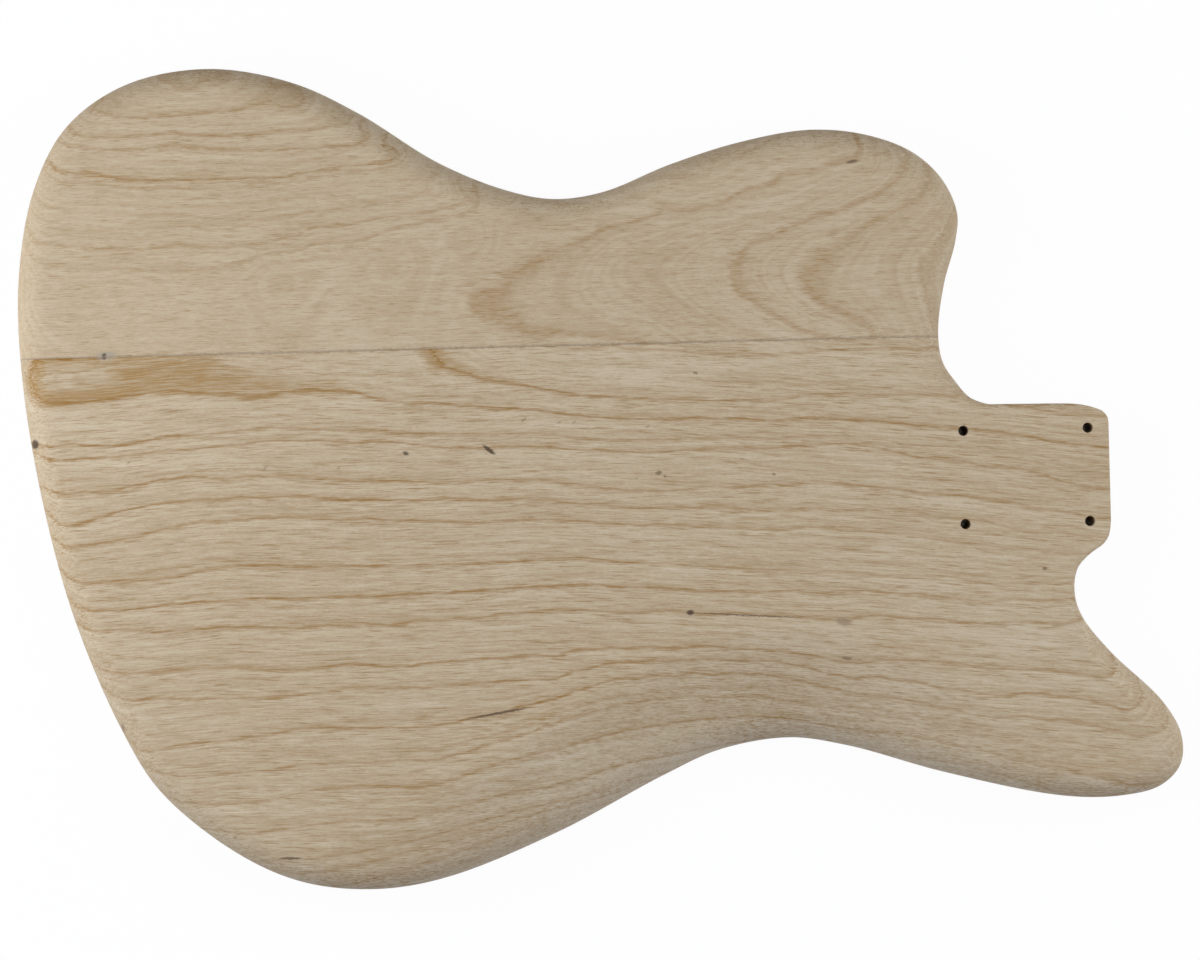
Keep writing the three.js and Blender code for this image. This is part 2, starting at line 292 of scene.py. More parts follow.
ribDepth, ribReach = contourAt(ribContour)
armDepth, armReach = contourAt(forearmContour)
backRadius = np.minimum(
    stations[:, 2], body["wallLimitShare"] * (bodyThickness - ribDepth - armDepth))
besidePocket = body["pocketWallShare"] * (np.abs(stations[:, 1]) - body["pocketWidth"] / 2)
frontRadius = np.where(
    stations[:, 0] > body["bridgeToPocket"],
    np.minimum(backRadius, np.maximum(body["heelEdge"], besidePocket)), backRadius)


def sunk(inset, depth, reach, radius):
    # How far the face lies under its flat level at a distance in from the outline
    edge = np.maximum(reach, radius)
    carved = depth * np.maximum(1 - inset / edge, 0) ** body["slopePower"]
    beyond = np.maximum(radius - inset, 0)
    return carved + radius - np.sqrt(np.maximum(radius ** 2 - beyond ** 2, 0))


def faceRings(depth, reach, radius):
    # Rings from the outline inwards over the roundover and the contour, as x, y and depth
    edge = np.maximum(reach, radius)
    rings = []
    for k in range(body["roundSteps"] + body["carveSteps"] + 1):
        angle = min(k / body["roundSteps"], 1) * math.pi / 2
        past = max(k - body["roundSteps"], 0) / body["carveSteps"]
        inset = radius * (1 - math.cos(angle)) + past * (edge - radius)
        rings.append(np.column_stack([
            stations[:, :2] + inward * inset[:, None], sunk(inset, depth, reach, radius)]))
    return rings


def insidePoints(ring, step, margin):
    # Points of a regular grid that lie inside a closed ring, clear of it by the margin
    low, high = ring.min(axis=0), ring.max(axis=0)
    xs = np.arange(low[0] + step / 2, high[0], step)
    ys = np.arange(low[1] + step / 2, high[1], step)
    grid = np.stack(np.meshgrid(xs, ys), axis=-1).reshape(-1, 2)
    side = np.roll(ring, -1, axis=0) - ring
    length2 = np.maximum((side ** 2).sum(axis=1), 1e-12)
    rise = np.where(side[:, 1] == 0, 1e-12, side[:, 1])
    kept = []
    for block in np.array_split(grid, max(1, len(grid) // body["gridBlock"])):
        p = block[:, None, :]
        after = np.roll(ring, -1, axis=0)[None, :, 1] > p[..., 1]
        crosses = (ring[None, :, 1] > p[..., 1]) != after
        at = ring[None, :, 0] + (p[..., 1] - ring[None, :, 1]) * side[None, :, 0] / rise
        inside = (crosses & (p[..., 0] < at)).sum(axis=1) % 2 == 1
        u = np.clip(((p - ring) * side).sum(axis=2) / length2, 0, 1)
        gap = np.linalg.norm(p - (ring + u[..., None] * side), axis=2).min(axis=1)
        kept.append(block[inside & (gap > margin)])
    return np.vstack(kept)


def fillFlat(points, faces, corners, z, step, flip):
    # Fill a closed ring of points, given by number, with grid points for the wood's detail
    ring = np.array([points[c][:2] for c in corners], float)
    inner = insidePoints(ring, step, body["gridMargin"] * step)
    flat = [tuple(map(float, p)) for p in np.vstack([ring, inner])]
    made = geometry.delaunay_2d_cdt(flat, [], [list(range(len(ring)))], 1, 1e-7, True)
    index = []
    for place, origin in zip(made[0], made[3]):
        if origin and origin[0] < len(ring):
            index.append(corners[origin[0]])
        else:
            index.append(len(points))
            points.append((place[0], place[1], z))
    for triangle, origin in zip(made[2], made[5]):
        if origin:  # the others fill bays outside the ring
            face = [index[v] for v in triangle]
            faces.append(face[::-1] if flip else face)


def meshObject(name, points, faces):
    # A new object from points in millimetres
    mesh = bpy.data.meshes.new(name)
    mesh.from_pydata((np.array(points, float) * 0.001).tolist(), [], faces)
    mesh.validate()
    return addObject(name, mesh)


def bodySkin():
    # Front face, rings out to the side, the side, rings back in, back face
    front = faceRings(armDepth, armReach, frontRadius)
    back = faceRings(ribDepth, ribReach, backRadius)
    low, high = front[0][:, 2], bodyThickness - back[0][:, 2]
    rings = front[::-1]
    for k in range(1, body["sideSteps"]):
        level = low + k / body["sideSteps"] * (high - low)
        rings.append(np.column_stack([stations[:, :2], level]))
    rings += [np.column_stack([r[:, :2], bodyThickness - r[:, 2]]) for r in back]
    # Rings that fall together, where nothing is carved, share their points
    count = len(stations)
    points = [tuple(p) for p in rings[0]]
    index = [list(range(count))]
    for before, ring in zip(rings, rings[1:]):
        apart = np.linalg.norm(ring - before, axis=1) > 1e-4
        row = []
        for i in range(count):
            row.append(len(points) if apart[i] else index[-1][i])
            if apart[i]:
                points.append(tuple(ring[i]))
        index.append(row)
    faces = []
    for lower, upper in zip(index, index[1:]):
        for i in range(count):
            n = (i + 1) % count
            corners = list(dict.fromkeys([lower[i], lower[n], upper[n], upper[i]]))
            if len(corners) > 2:
                faces.append(corners)
    fillFlat(points, faces, index[0], 0, body["gridStep"], True)
    fillFlat(points, faces, index[-1], bodyThickness, body["gridStep"], False)
    return meshObject("body_skin", points, faces)


skin = bodySkin()
print("body skin:", len(skin.data.vertices), "points")

routs = {
    # All open at the front. Mesh steps, how far cutters stand out of the wood, points of a corner
    "wallStep": 4, "floorStep": 3, "overrun": 10, "arcSteps": 8,
    # Middle x and y, length, width, depth and corner radius
    "pockets": {
        "neck pocket": (222.1, 0, 86.2, 56, 15.9, 6.35),
        "bridge pickup": (41, 0, 50, 95, 19, 6.35),
        "neck pickup": (141, 0, 50, 95, 19, 6.35),
        "vibrato": (-86, 0, 70, 46, 27, 6.35),
        "controls": (-45, 85, 150, 34, 37, 17),
        "switch": (150, 104, 34, 34, 32, 17),
        "rhythm slot": (152, -78, 66, 20, 26, 6.35),
    },
    # Wire channels, middle x and y, length and width, all of one depth
    "channelDepth": 15,
    "channels": {
        "pickup to controls": (22, 60.25, 12, 61.5),
        "controls to switch": (81.5, 88, 149, 12),
        "slot to pickup": (141, -56.75, 12, 54.5),
        "pickup to pickup": (91, 0, 112, 12),
    },
}
drills = {
    "sides": 40, "segments": 10,
    # Columns, spacing x and y, diameter, place x and y, from and to
    "neck screws": (2, 50.8, 38.1, 4.2, 221.1, 0, 5.9, 54.5),
    "bridge posts": (1, 0, 73, 11.5, 0, 0, -10, 30),
}


def routCutter(name, x, y, length, width, depth, corner):
    # A closed cutter from below the front face up to the rout's floor, with rounded corners
    right, top = length / 2 - corner, width / 2 - corner
    outline = []
    for turn, (sx, sy) in enumerate(((1, 1), (-1, 1), (-1, -1), (1, -1))):
        for step in range(routs["arcSteps"] + 1 if corner else 1):
            angle = (turn + step / routs["arcSteps"]) * math.pi / 2
            outline.append((x + sx * right + corner * math.cos(angle),
                            y + sy * top + corner * math.sin(angle)))
    ring = []
    for (ax, ay), (bx, by) in zip(outline, outline[1:] + outline[:1]):
        parts = max(1, math.ceil(math.hypot(bx - ax, by - ay) / routs["wallStep"]))
        if math.hypot(bx - ax, by - ay) > 1e-6:
            ring += [(ax + (bx - ax) * k / parts, ay + (by - ay) * k / parts)
                     for k in range(parts)]
    steps = math.ceil(depth / routs["wallStep"])
    levels = [-routs["overrun"]] + [depth * k / steps for k in range(steps + 1)]
    points = [(px, py, z) for z in levels for px, py in ring]
    count = len(ring)
    faces = [(r * count + i, r * count + (i + 1) % count,
              (r + 1) * count + (i + 1) % count, (r + 1) * count + i)
             for r in range(len(levels) - 1) for i in range(count)]
    faces.append(list(range(count))[::-1])
    last = (len(levels) - 1) * count
    fillFlat(points, faces, list(range(last, last + count)), depth, routs["floorStep"], False)
    return meshObject(name.replace(" ", "_"), points, faces)


def drillTree():
    # Geometry Nodes: a grid of upright drills, sizes in metres
    tree = bpy.data.node_groups.new("drill_pattern", "GeometryNodeTree")
    for name, kind in (("Columns", "Int"), ("Spacing X", "Float"), ("Spacing Y", "Float"),
                       ("Diameter", "Float"), ("Depth", "Float"), ("Place", "Vector"),
                       ("Material", "Material")):
        tree.interface.new_socket(name, in_out="INPUT", socket_type="NodeSocket" + kind)
    tree.interface.new_socket("Geometry", in_out="OUTPUT", socket_type="NodeSocketGeometry")
    given = tree.nodes.new("NodeGroupInput").outputs
    radius = addNode(tree, "ShaderNodeMath", given["Diameter"], 0.5, operation="MULTIPLY")
    drill = addNode(tree, "GeometryNodeMeshCylinder", {
        "Vertices": drills["sides"], "Side Segments": drills["segments"],
        "Radius": radius, "Depth": given["Depth"]})
    places = addNode(tree, "GeometryNodeMeshGrid", {
        "Vertices X": given["Columns"], "Vertices Y": 2,
        "Size X": given["Spacing X"], "Size Y": given["Spacing Y"]})
    repeated = addNode(tree, "GeometryNodeInstanceOnPoints",
                       {"Points": places, "Instance": drill})
    placed = addNode(tree, "GeometryNodeTransform",
                     {"Geometry": repeated, "Translation": given["Place"]})
    real = addNode(tree, "GeometryNodeRealizeInstances", {"Geometry": placed})
    made = addNode(tree, "GeometryNodeSetMaterial",
                   {"Geometry": real, "Material": given["Material"]})
    addNode(tree, "NodeGroupOutput", {"Geometry": made})
    return tree


def drillCutter(tree, name, columns, spacingX, spacingY, diameter, x, y, start, end):
    made = meshObject(name.replace(" ", "_"), [(0, 0, 0)], [])
    modifier = made.modifiers.new("drills", "NODES")
    modifier.node_group = tree
    values = {
        "Columns": columns, "Spacing X": spacingX / 1000, "Spacing Y": spacingY / 1000,
        "Diameter": diameter / 1000, "Depth": (end - start) / 1000,
        "Place": (x / 1000, y / 1000, (start + end) / 2000),
    }
    for item in tree.interface.items_tree:
        if item.name in values:
            modifier[item.identifier] = values[item.name]
    settle(made)
    return made


def settle(made):
    # Turn an object's modifiers into its mesh
    graph = bpy.context.evaluated_depsgraph_get()
    mesh = bpy.data.meshes.new_from_object(made.evaluated_get(graph))
    made.modifiers.clear()
    made.data = mesh


def combine(target, other, operation):
    modifier = target.modifiers.new("combine", "BOOLEAN")
    modifier.operation = operation
    modifier.solver = "MANIFOLD"
    modifier.object = other
    settle(target)


cutters = [routCutter(name, *sizes) for name, sizes in routs["pockets"].items()]
cutters += [routCutter(name, *sizes, routs["channelDepth"], 0)
            for name, sizes in routs["channels"].items()]
pattern = drillTree()
cutters += [drillCutter(pattern, name, *drills[name]) for name in ("neck screws", "bridge posts")]
for cutter in cutters:
    combine(skin, cutter, "DIFFERENCE")
    bpy.data.objects.remove(cutter)
print("routs and holes cut")


def sawnPiece(name, fromY, toY):
    # The part of the body between two planes across Y
    across = 4 * body["length"]
    corners = [(sx * across, y, sz * across) for sx in (-1, 1) for y in (fromY, toY)
               for sz in (-1, 1)]
    faces = [(0, 1, 3, 2), (4, 6, 7, 5), (0, 4, 5, 1), (2, 3, 7, 6), (0, 2, 6, 4), (1, 5, 7, 3)]
    slab = meshObject("slab", corners, faces)
    piece = addObject(name, skin.data.copy())
    combine(piece, slab, "INTERSECT")
    bpy.data.objects.remove(slab)
    piece.data.name = name
    piece.data.materials.clear()
    piece.data.shade_smooth()
    piece.data.set_sharp_from_angle(angle=math.radians(body["smoothAngle"]))
    return piece


bassBoard = sawnPiece("ash_board_bass_side", -2 * body["width"], bassSeam)
trebleBoard = sawnPiece("ash_board_treble_side", trebleSeam, 2 * body["width"])
glueFilm = sawnPiece("glue_film", bassSeam, trebleSeam)
bpy.data.objects.remove(skin)
print("boards sawn:", len(bassBoard.data.polygons), len(trebleBoard.data.polygons))

# Growth rings: lines drawn on each board's back, from the bark side inwards, as x and y in
# millimetres. A smooth field goes through them, and the wood's colour follows it. Levels run
# across the board in millimetres at its middle, one for each line.

bassGrain = {
    "levels": [58, 45, 34, 22.5, 17.8, 3.6, -4.3, -13, -29.7, -40.7, -51.5, -69, -78.7, -92, -101,
               -104.5, -114, -126, -134.6, -138.2, -144, -149.8],
    # How dark each line is towards the left, in the middle and towards the neck
    "strengthAt": [-150, 20, 190],
    "strengths": [
        (0.3, 0.5, 0.6), (0.5, 1, 0.5), (0.9, 0.95, 0.85), (0.95, 0.6, 0.15), (0.9, 0.85, 0.75),
        (0.85, 0.75, 0.6), (0.85, 0.75, 0.5), (0.75, 0.8, 0.5), (0.8, 0.85, 0.35),
        (0.9, 0.95, 0.6), (0.85, 0.7, 0.65), (0.65, 0.95, 0.65), (0.7, 0.75, 0.7), (0.6, 1, 0.55),
        (0.2, 0.4, 0.2), (0.6, 0.8, 0.15), (0.6, 0.8, 0.5), (0.5, 0.65, 0.3), (0.5, 0.5, 0.3),
        (0.3, 0.5, 0.3), (0.3, 0.35, 0.3), (0.25, 0.25, 0.25)],
    # How far the fibres rise above straight lines along the board: x and y in millimetres
    "fibres": [(-190, -3), (-150, -1.5), (-110, 1), (-50, 0), (20, 0.5), (70, -1.5), (120, -5),
               (180, -10), (230, -14.5), (280, -19)],
    # Line widths left and right of where the horn starts, in millimetres, and rings met per
    # millimetre of depth: they lie about 13 degrees to the face
    "lineWidth": (1, 1), "perDepth": 0.39,
    # Level, x and y of places between the lines that keep the field in shape
    "guides": [(37.3, -170, 49), (34.8, -128, 51), (39.5, -100, 55), (41.7, -60, 55)],
    # Brown figure beside the seam: how brown, how far it spreads, and the stroke's points
    "figure": [
        (1, 3.2, [(-181, 55), (-184, 50), (-183, 45), (-179, 41.5)]),
        (1, 3.2, [(-179, 41), (-165, 42), (-152, 43.5), (-142, 45)]),
        (0.65, 2.2, [(-178, 56.5), (-158, 57)]),
        (0.85, 8.5, [(-142, 51), (-117, 51)]), (0.6, 5.5, [(-112, 48), (-98, 45), (-84, 43.5)]),
        (0.45, 3.5, [(-84, 43.5), (-60, 43)]), (0.9, 4.6, [(-20.5, 57.5), (-18, 53)]),
        (0.6, 3, [(-15, 51.5), (-6, 48)]), (0.4, 2.2, [(-6, 47.8), (12, 44)]),
    ],
    "lines": [
        [(52, 57.4), (60, 56), (70, 55.8), (80, 55.2), (88, 53.8), (98, 53), (110, 52.5),
         (120, 52.2), (130, 52.8), (142, 53.3), (160, 53.6), (170, 53.5), (178, 52.7),
         (184, 53.5)],
        [(-20, 57.5), (-18, 54), (-15, 51), (-12, 49.5), (-8, 48.5), (-4, 46.7), (0, 45.2),
         (5, 44.3), (15, 42.5), (25, 40.4), (33, 39), (43, 37), (50, 36.8), (60, 35.7),
         (70, 35.2), (80, 35), (90, 34.5), (100, 34), (118, 33.8), (125, 34.5), (132, 35.4),
         (140, 35.6), (150, 35.3), (170, 35), (180, 34.7), (185, 34.2)],
        [(-155, 57.5), (-170, 57.3), (-180, 57), (-184, 53), (-184, 49), (-183, 46), (-181, 43),
         (-178, 40.5), (-172, 40), (-160, 40.5), (-150, 41), (-140, 42.5), (-130, 43),
         (-118, 42.5), (-105, 42), (-95, 41), (-85, 41.5), (-75, 42.5), (-60, 42), (-52, 41.5),
         (-48, 39.8), (-44, 38.8), (-38, 37), (-30, 36.2), (-20, 36), (-12, 35), (-5, 34.5),
         (5, 33.2), (15, 32.8), (25, 31.8), (30, 30.8), (40, 29.5), (50, 28.3), (60, 27.8),
         (70, 27.2), (88, 27), (100, 26.3), (110, 25.8), (120, 25.5), (140, 25.5), (148, 24.8),
         (155, 24.2), (170, 23), (183, 21.6), (200, 19.6), (215, 17.5), (222, 16.3), (230, 14.5),
         (238, 13), (245, 12), (254, 10.8)],
        [(-184, 23), (-175, 22), (-168, 22.8), (-162, 21.8), (-155, 21.5), (-148, 21.8),
         (-140, 23), (-130, 25.2), (-120, 25.5), (-110, 25.6), (-100, 26.5), (-92, 27),
         (-85, 27.2), (-70, 26.3), (-60, 26), (-50, 25.3), (-40, 25), (-32, 24.2), (-25, 23.6),
         (-15, 23), (-8, 22.3), (5, 22.6), (10, 22.3), (18, 22.7), (25, 22.2), (30, 21.5),
         (35, 20.2), (40, 19.4), (50, 19), (60, 18.7), (80, 18.8), (90, 18.5), (110, 18.2),
         (120, 17.8), (130, 18.2), (140, 18), (150, 17.5), (158, 16.8), (165, 15.5), (170, 14),
         (175, 12.3), (180, 11), (190, 10.5), (200, 9.5)],
        [(-183, 20), (-180, 17.8), (-176, 16.5), (-170, 16.3), (-165, 17), (-150, 17.5),
         (-140, 18.3), (-130, 19), (-120, 19.5), (-112, 20.3), (-98, 21), (-92, 22),
         (-85, 22.5), (-78, 22), (-70, 22), (-60, 21.5), (-42, 21), (-35, 20.3), (-28, 19.3),
         (-22, 18.5), (-15, 17.8), (0, 17.6), (20, 17.3), (28, 16.8), (33, 16), (38, 15.3),
         (45, 15), (52, 14.5), (60, 14.2), (80, 14.7), (100, 14.6), (120, 14.5), (128, 15),
         (144, 15.2), (150, 15), (156, 14), (163, 12.8), (168, 11.5), (180, 9), (190, 7.5),
         (198, 6), (212, 3.8), (218, 3), (225, 1.5), (230, 0), (236, -2.5), (242, -4.5),
         (254, -6)],
        [(-178, 4.5), (-175, 3.3), (-171, 2.8), (-165, 3.3), (-150, 3.8), (-145, 4.8),
         (-140, 5.5), (-135, 6.8), (-130, 7.6), (-120, 8.5), (-116, 8.3), (-112, 7.4),
         (-100, 7.6), (-95, 8), (-88, 7.3), (-80, 7.5), (-72, 7), (-65, 6.5), (-58, 5.5),
         (-50, 5), (-40, 4.7), (-30, 4.3), (-20, 3.6), (-10, 3.2), (0, 3.6), (18, 3.7), (28, 3),
         (32, 2), (40, 0.8), (48, -0.5), (55, -1.7), (62, -2.5), (70, -2.7), (80, -2.3),
         (92, -1), (100, -1.5), (110, -1), (140, -0.8), (147, -1.3), (155, -2.5), (163, -3),
         (170, -4), (178, -6), (192, -7), (200, -8), (208, -9.5), (218, -11.5), (224, -13.2),
         (232, -13.8), (240, -15.5), (247, -17.2), (253, -18.2)],
        [(-178, -6), (-176, -8), (-173, -9.8), (-168, -10), (-163, -9), (-158, -7.5),
         (-152, -5.8), (-146, -4.5), (-140, -3.4), (-132, -2.5), (-125, -1.8), (-115, -1.3),
         (-105, -1), (-85, -0.8), (-70, -1.3), (-63, -2), (-55, -2.8), (-40, -3.5), (-30, -3.5),
         (-16, -3), (-10, -3.7), (0, -4.3), (8, -4), (22, -4.5), (30, -5.3), (38, -6.5),
         (45, -6.8), (52, -8), (70, -8.8), (80, -9.5), (100, -10), (110, -10.7), (126, -11.2),
         (145, -12), (162, -11.6), (170, -12), (175, -12.7), (178, -14), (183, -15.5),
         (190, -16.5), (200, -17.5), (208, -19), (214, -21), (219, -22.3), (226, -23),
         (240, -24.3), (247, -25.3), (253, -26)],
        [(-176, -16), (-174, -18.5), (-170, -19.8), (-165, -19), (-158, -18), (-150, -16.7),
         (-143, -15.5), (-136, -13.8), (-130, -12.5), (-122, -11.2), (-115, -10.5),
         (-100, -10.2), (-95, -9.5), (-88, -9.5), (-80, -9), (-65, -9.8), (-50, -10.3),
         (-40, -11), (-30, -11.5), (-20, -12.5), (-10, -13.2), (0, -13), (10, -12.5),
         (20, -12.8), (30, -13), (38, -13.7), (45, -14.5), (55, -15.5), (75, -16),
         (85, -16.8), (95, -17.7), (105, -18.2), (130, -18.2), (140, -19.3), (150, -20.3),
         (160, -21.5), (170, -23), (180, -24.5), (200, -27), (220, -29.5), (238, -32)],
        [(-175, -28), (-172, -31), (-168, -33), (-158, -33.7), (-152, -33), (-138, -33.2),
         (-127, -32), (-121, -30.7), (-115, -29.7), (-103, -28.5), (-88, -28.5), (-80, -29),
         (-60, -29.8), (-40, -30), (-20, -30.3), (0, -29.7), (10, -29.5), (20, -28.9),
         (30, -28.6), (37, -28.7), (45, -29.5), (52, -30.4), (60, -31), (76, -32.3), (84, -33),
         (100, -34), (115, -35.8), (135, -36.7), (148, -37.5), (158, -38.5), (175, -39.8),
         (195, -41.8), (215, -43.5), (233, -44.3), (238, -43.8)],
        [(-171, -41), (-168, -43.5), (-164, -44.7), (-150, -45.8), (-140, -44.8), (-132, -44),
         (-125, -43.4), (-106, -42.7), (-90, -42), (-82, -42.5), (-65, -42), (-45, -42.3),
         (-27, -41.5), (-10, -41), (10, -40.4), (30, -39.8), (37, -39.5), (45, -40),
         (55, -40.8), (65, -41.3), (75, -42.3), (85, -43.3), (95, -44), (125, -44.3),
         (145, -44.7), (155, -45), (175, -47), (190, -48.3), (207, -50.5), (215, -50),
         (230, -51), (236, -50.7)],
        [(-168, -50.5), (-165, -52.3), (-161, -53.5), (-150, -53.5), (-143, -54), (-135, -54.3),
         (-120, -53.6), (-100, -53), (-92, -53.6), (-84, -54.3), (-78, -55), (-72, -54.3),
         (-56, -53.8), (-50, -53.3), (-42, -54), (-35, -53.2), (-28, -52.3), (-12, -52),
         (3, -51.3), (17, -50.6), (25, -50), (45, -50.3), (55, -51), (75, -51.3), (82, -52.3),
         (100, -53), (110, -53.8), (120, -54.5), (132, -55.5), (142, -57), (145, -57.5),
         (150, -56.2), (157, -55.5), (172, -56.8), (190, -58.5), (207, -59.3), (213, -58.8),
         (235, -60), (239, -59.3)],
        [(-163, -66), (-160, -69), (-155, -70.3), (-135, -70.9), (-120, -70), (-100, -70.2),
         (-60, -70), (-52, -70), (-42, -71), (-35, -71.3), (-28, -70.5), (-15, -69.5),
         (0, -69), (22, -68), (28, -68.6), (31, -67), (36, -66.3), (50, -65.4), (65, -66.2),
         (80, -66.8), (100, -67.5), (110, -68), (118, -69), (126, -70.1), (133, -71.3),
         (138, -72.5), (142, -73.5), (168, -73.8), (185, -75.2), (195, -76.6), (215, -78.8),
         (235, -80.8), (243, -82), (250, -83.3), (254, -81.5), (256, -78.5), (254.5, -75)],
        [(-158, -77), (-155, -79.5), (-151, -81.3), (-138, -81.6), (-125, -82.2), (-105, -82.7),
         (-88, -82.5), (-75, -81.2), (-62, -80), (-48, -79.3), (-32, -80), (-20, -79.3),
         (0, -78.7), (15, -78.1), (25, -77.8), (30, -76.5), (36, -75), (42, -73.5),
         (50, -72.3), (58, -71.8), (80, -72), (100, -72.5), (110, -73.2), (125, -74.8),
         (130, -75.8), (135, -77.8), (140, -79), (147, -80.5), (159, -80.5), (165, -81.8),
         (178, -83.8), (184, -85.5), (197, -87.6), (210, -89), (216, -88.6), (232, -90),
         (247, -92.8), (259, -96.3), (262, -96), (265, -93.5), (266.5, -90), (265, -85)],
        [(-147, -101), (-145, -102.8), (-140, -103.2), (-128, -101.5), (-112, -99.8),
         (-98, -98.5), (-92, -98), (-85, -96.8), (-73, -95.3), (-60, -95.6), (-45, -95.8),
         (-32, -96.5), (-27, -95.8), (-12, -94.3), (-8, -92.8), (3, -91.5), (8, -90.8),
         (12, -89), (16, -88.5), (20, -87), (28, -85.3), (35, -83), (42, -80.7), (48, -78.8),
         (53, -78), (66, -77.6), (82, -76.8), (100, -77.2), (110, -78.2), (118, -79.2),
         (125, -81), (135, -84), (142, -85.3), (148, -87.3), (160, -88.6), (175, -91.3),
         (190, -95), (205, -97.8), (217, -97.5), (230, -99), (245, -102), (257, -105.5),
         (270, -106), (274, -104.3), (276.5, -101), (275, -96)],
        [(-142, -108), (-135, -108.7), (-115, -109.2), (-95, -108.5), (-75, -107), (-55, -106.8),
         (-35, -105.8), (-20, -105.5), (-12, -103.7), (0, -101), (10, -98.3), (20, -95),
         (30, -91.5), (40, -89), (50, -86.7), (60, -85.5), (80, -84), (90, -83.9),
         (100, -84.8), (120, -87.2), (133, -89.5), (147, -93.5), (162, -95.2), (178, -98.5),
         (195, -102.5), (210, -105.8), (226, -109), (248, -111.5), (262, -115), (272, -118.5),
         (276, -117.5), (280, -114)],
        [(-143, -109), (-136, -112), (-130, -113), (-112, -113), (-97, -112), (-82, -110.5),
         (-75, -109.6), (-55, -109.5), (-35, -109), (-20, -108.8), (-15, -107.5), (-8, -105.8),
         (0, -103.3), (10, -100.7), (20, -97.2), (30, -94.5), (40, -91.8), (50, -89.5),
         (60, -88.2), (80, -86.6), (100, -87.2), (120, -89.2), (133, -92), (147, -95),
         (162, -97), (178, -100.3), (186, -102.8), (203, -106.3), (220, -109.5), (233, -111.5),
         (238, -113), (258, -115.8), (269, -119.8), (274, -120), (278, -118)],
        [(-131, -123.5), (-127, -124.3), (-113, -125.2), (-97, -124.8), (-90, -124.3),
         (-83, -123), (-70, -121), (-62, -120.5), (-45, -120), (-30, -120.6), (-25, -120),
         (-15, -117.5), (-8, -115), (0, -112.5), (12, -109.5), (20, -108), (28, -106.3),
         (36, -104.3), (44, -102.5), (60, -99.8), (76, -97.6), (85, -96.8), (105, -96.3),
         (115, -96.7), (128, -98.5), (142, -101.5), (158, -104), (172, -105.3), (188, -108.8),
         (202, -112), (218, -116.3), (234, -120.5), (250, -123.6), (261, -127)],
        [(-119, -136), (-108, -136.8), (-90, -137), (-82, -136.5), (-75, -135), (-60, -134),
         (-40, -133.8), (-33, -133), (-26, -131.5), (-13, -128.7), (0, -125.9), (16, -123.6),
         (22, -122.7), (30, -121), (38, -119), (46, -116.5), (53, -114.5), (68, -112.1),
         (84, -109.8), (100, -107.7), (110, -106)],
        [(-101, -149), (-95, -150), (-90, -150), (-86, -148.3), (-78, -149), (-70, -148),
         (-55, -146.5), (-48, -145), (-40, -143.8), (-30, -141.8), (-15, -138.2), (0, -134.6),
         (10, -132), (20, -129.9), (38, -127), (46, -125), (53, -122.8), (66, -120)],
        [(-92, -153), (-85, -155), (-73, -154.8), (-65, -154), (-57, -152.5), (-50, -151),
         (-42, -149), (-25, -145), (-10, -140.7), (0, -137.9), (10, -135.2), (20, -132.7),
         (40, -128.8), (60, -122.8)],
        [(-56, -160), (-50, -158.5), (-43, -156.3), (-28, -152), (-12, -147.5), (0, -143.5),
         (15, -139), (22, -137), (38, -133), (44, -131.5)],
        [(-45, -161.3), (-35, -160), (-25, -157), (-5, -151), (10, -146.5), (24, -142.5)],
    ],
}

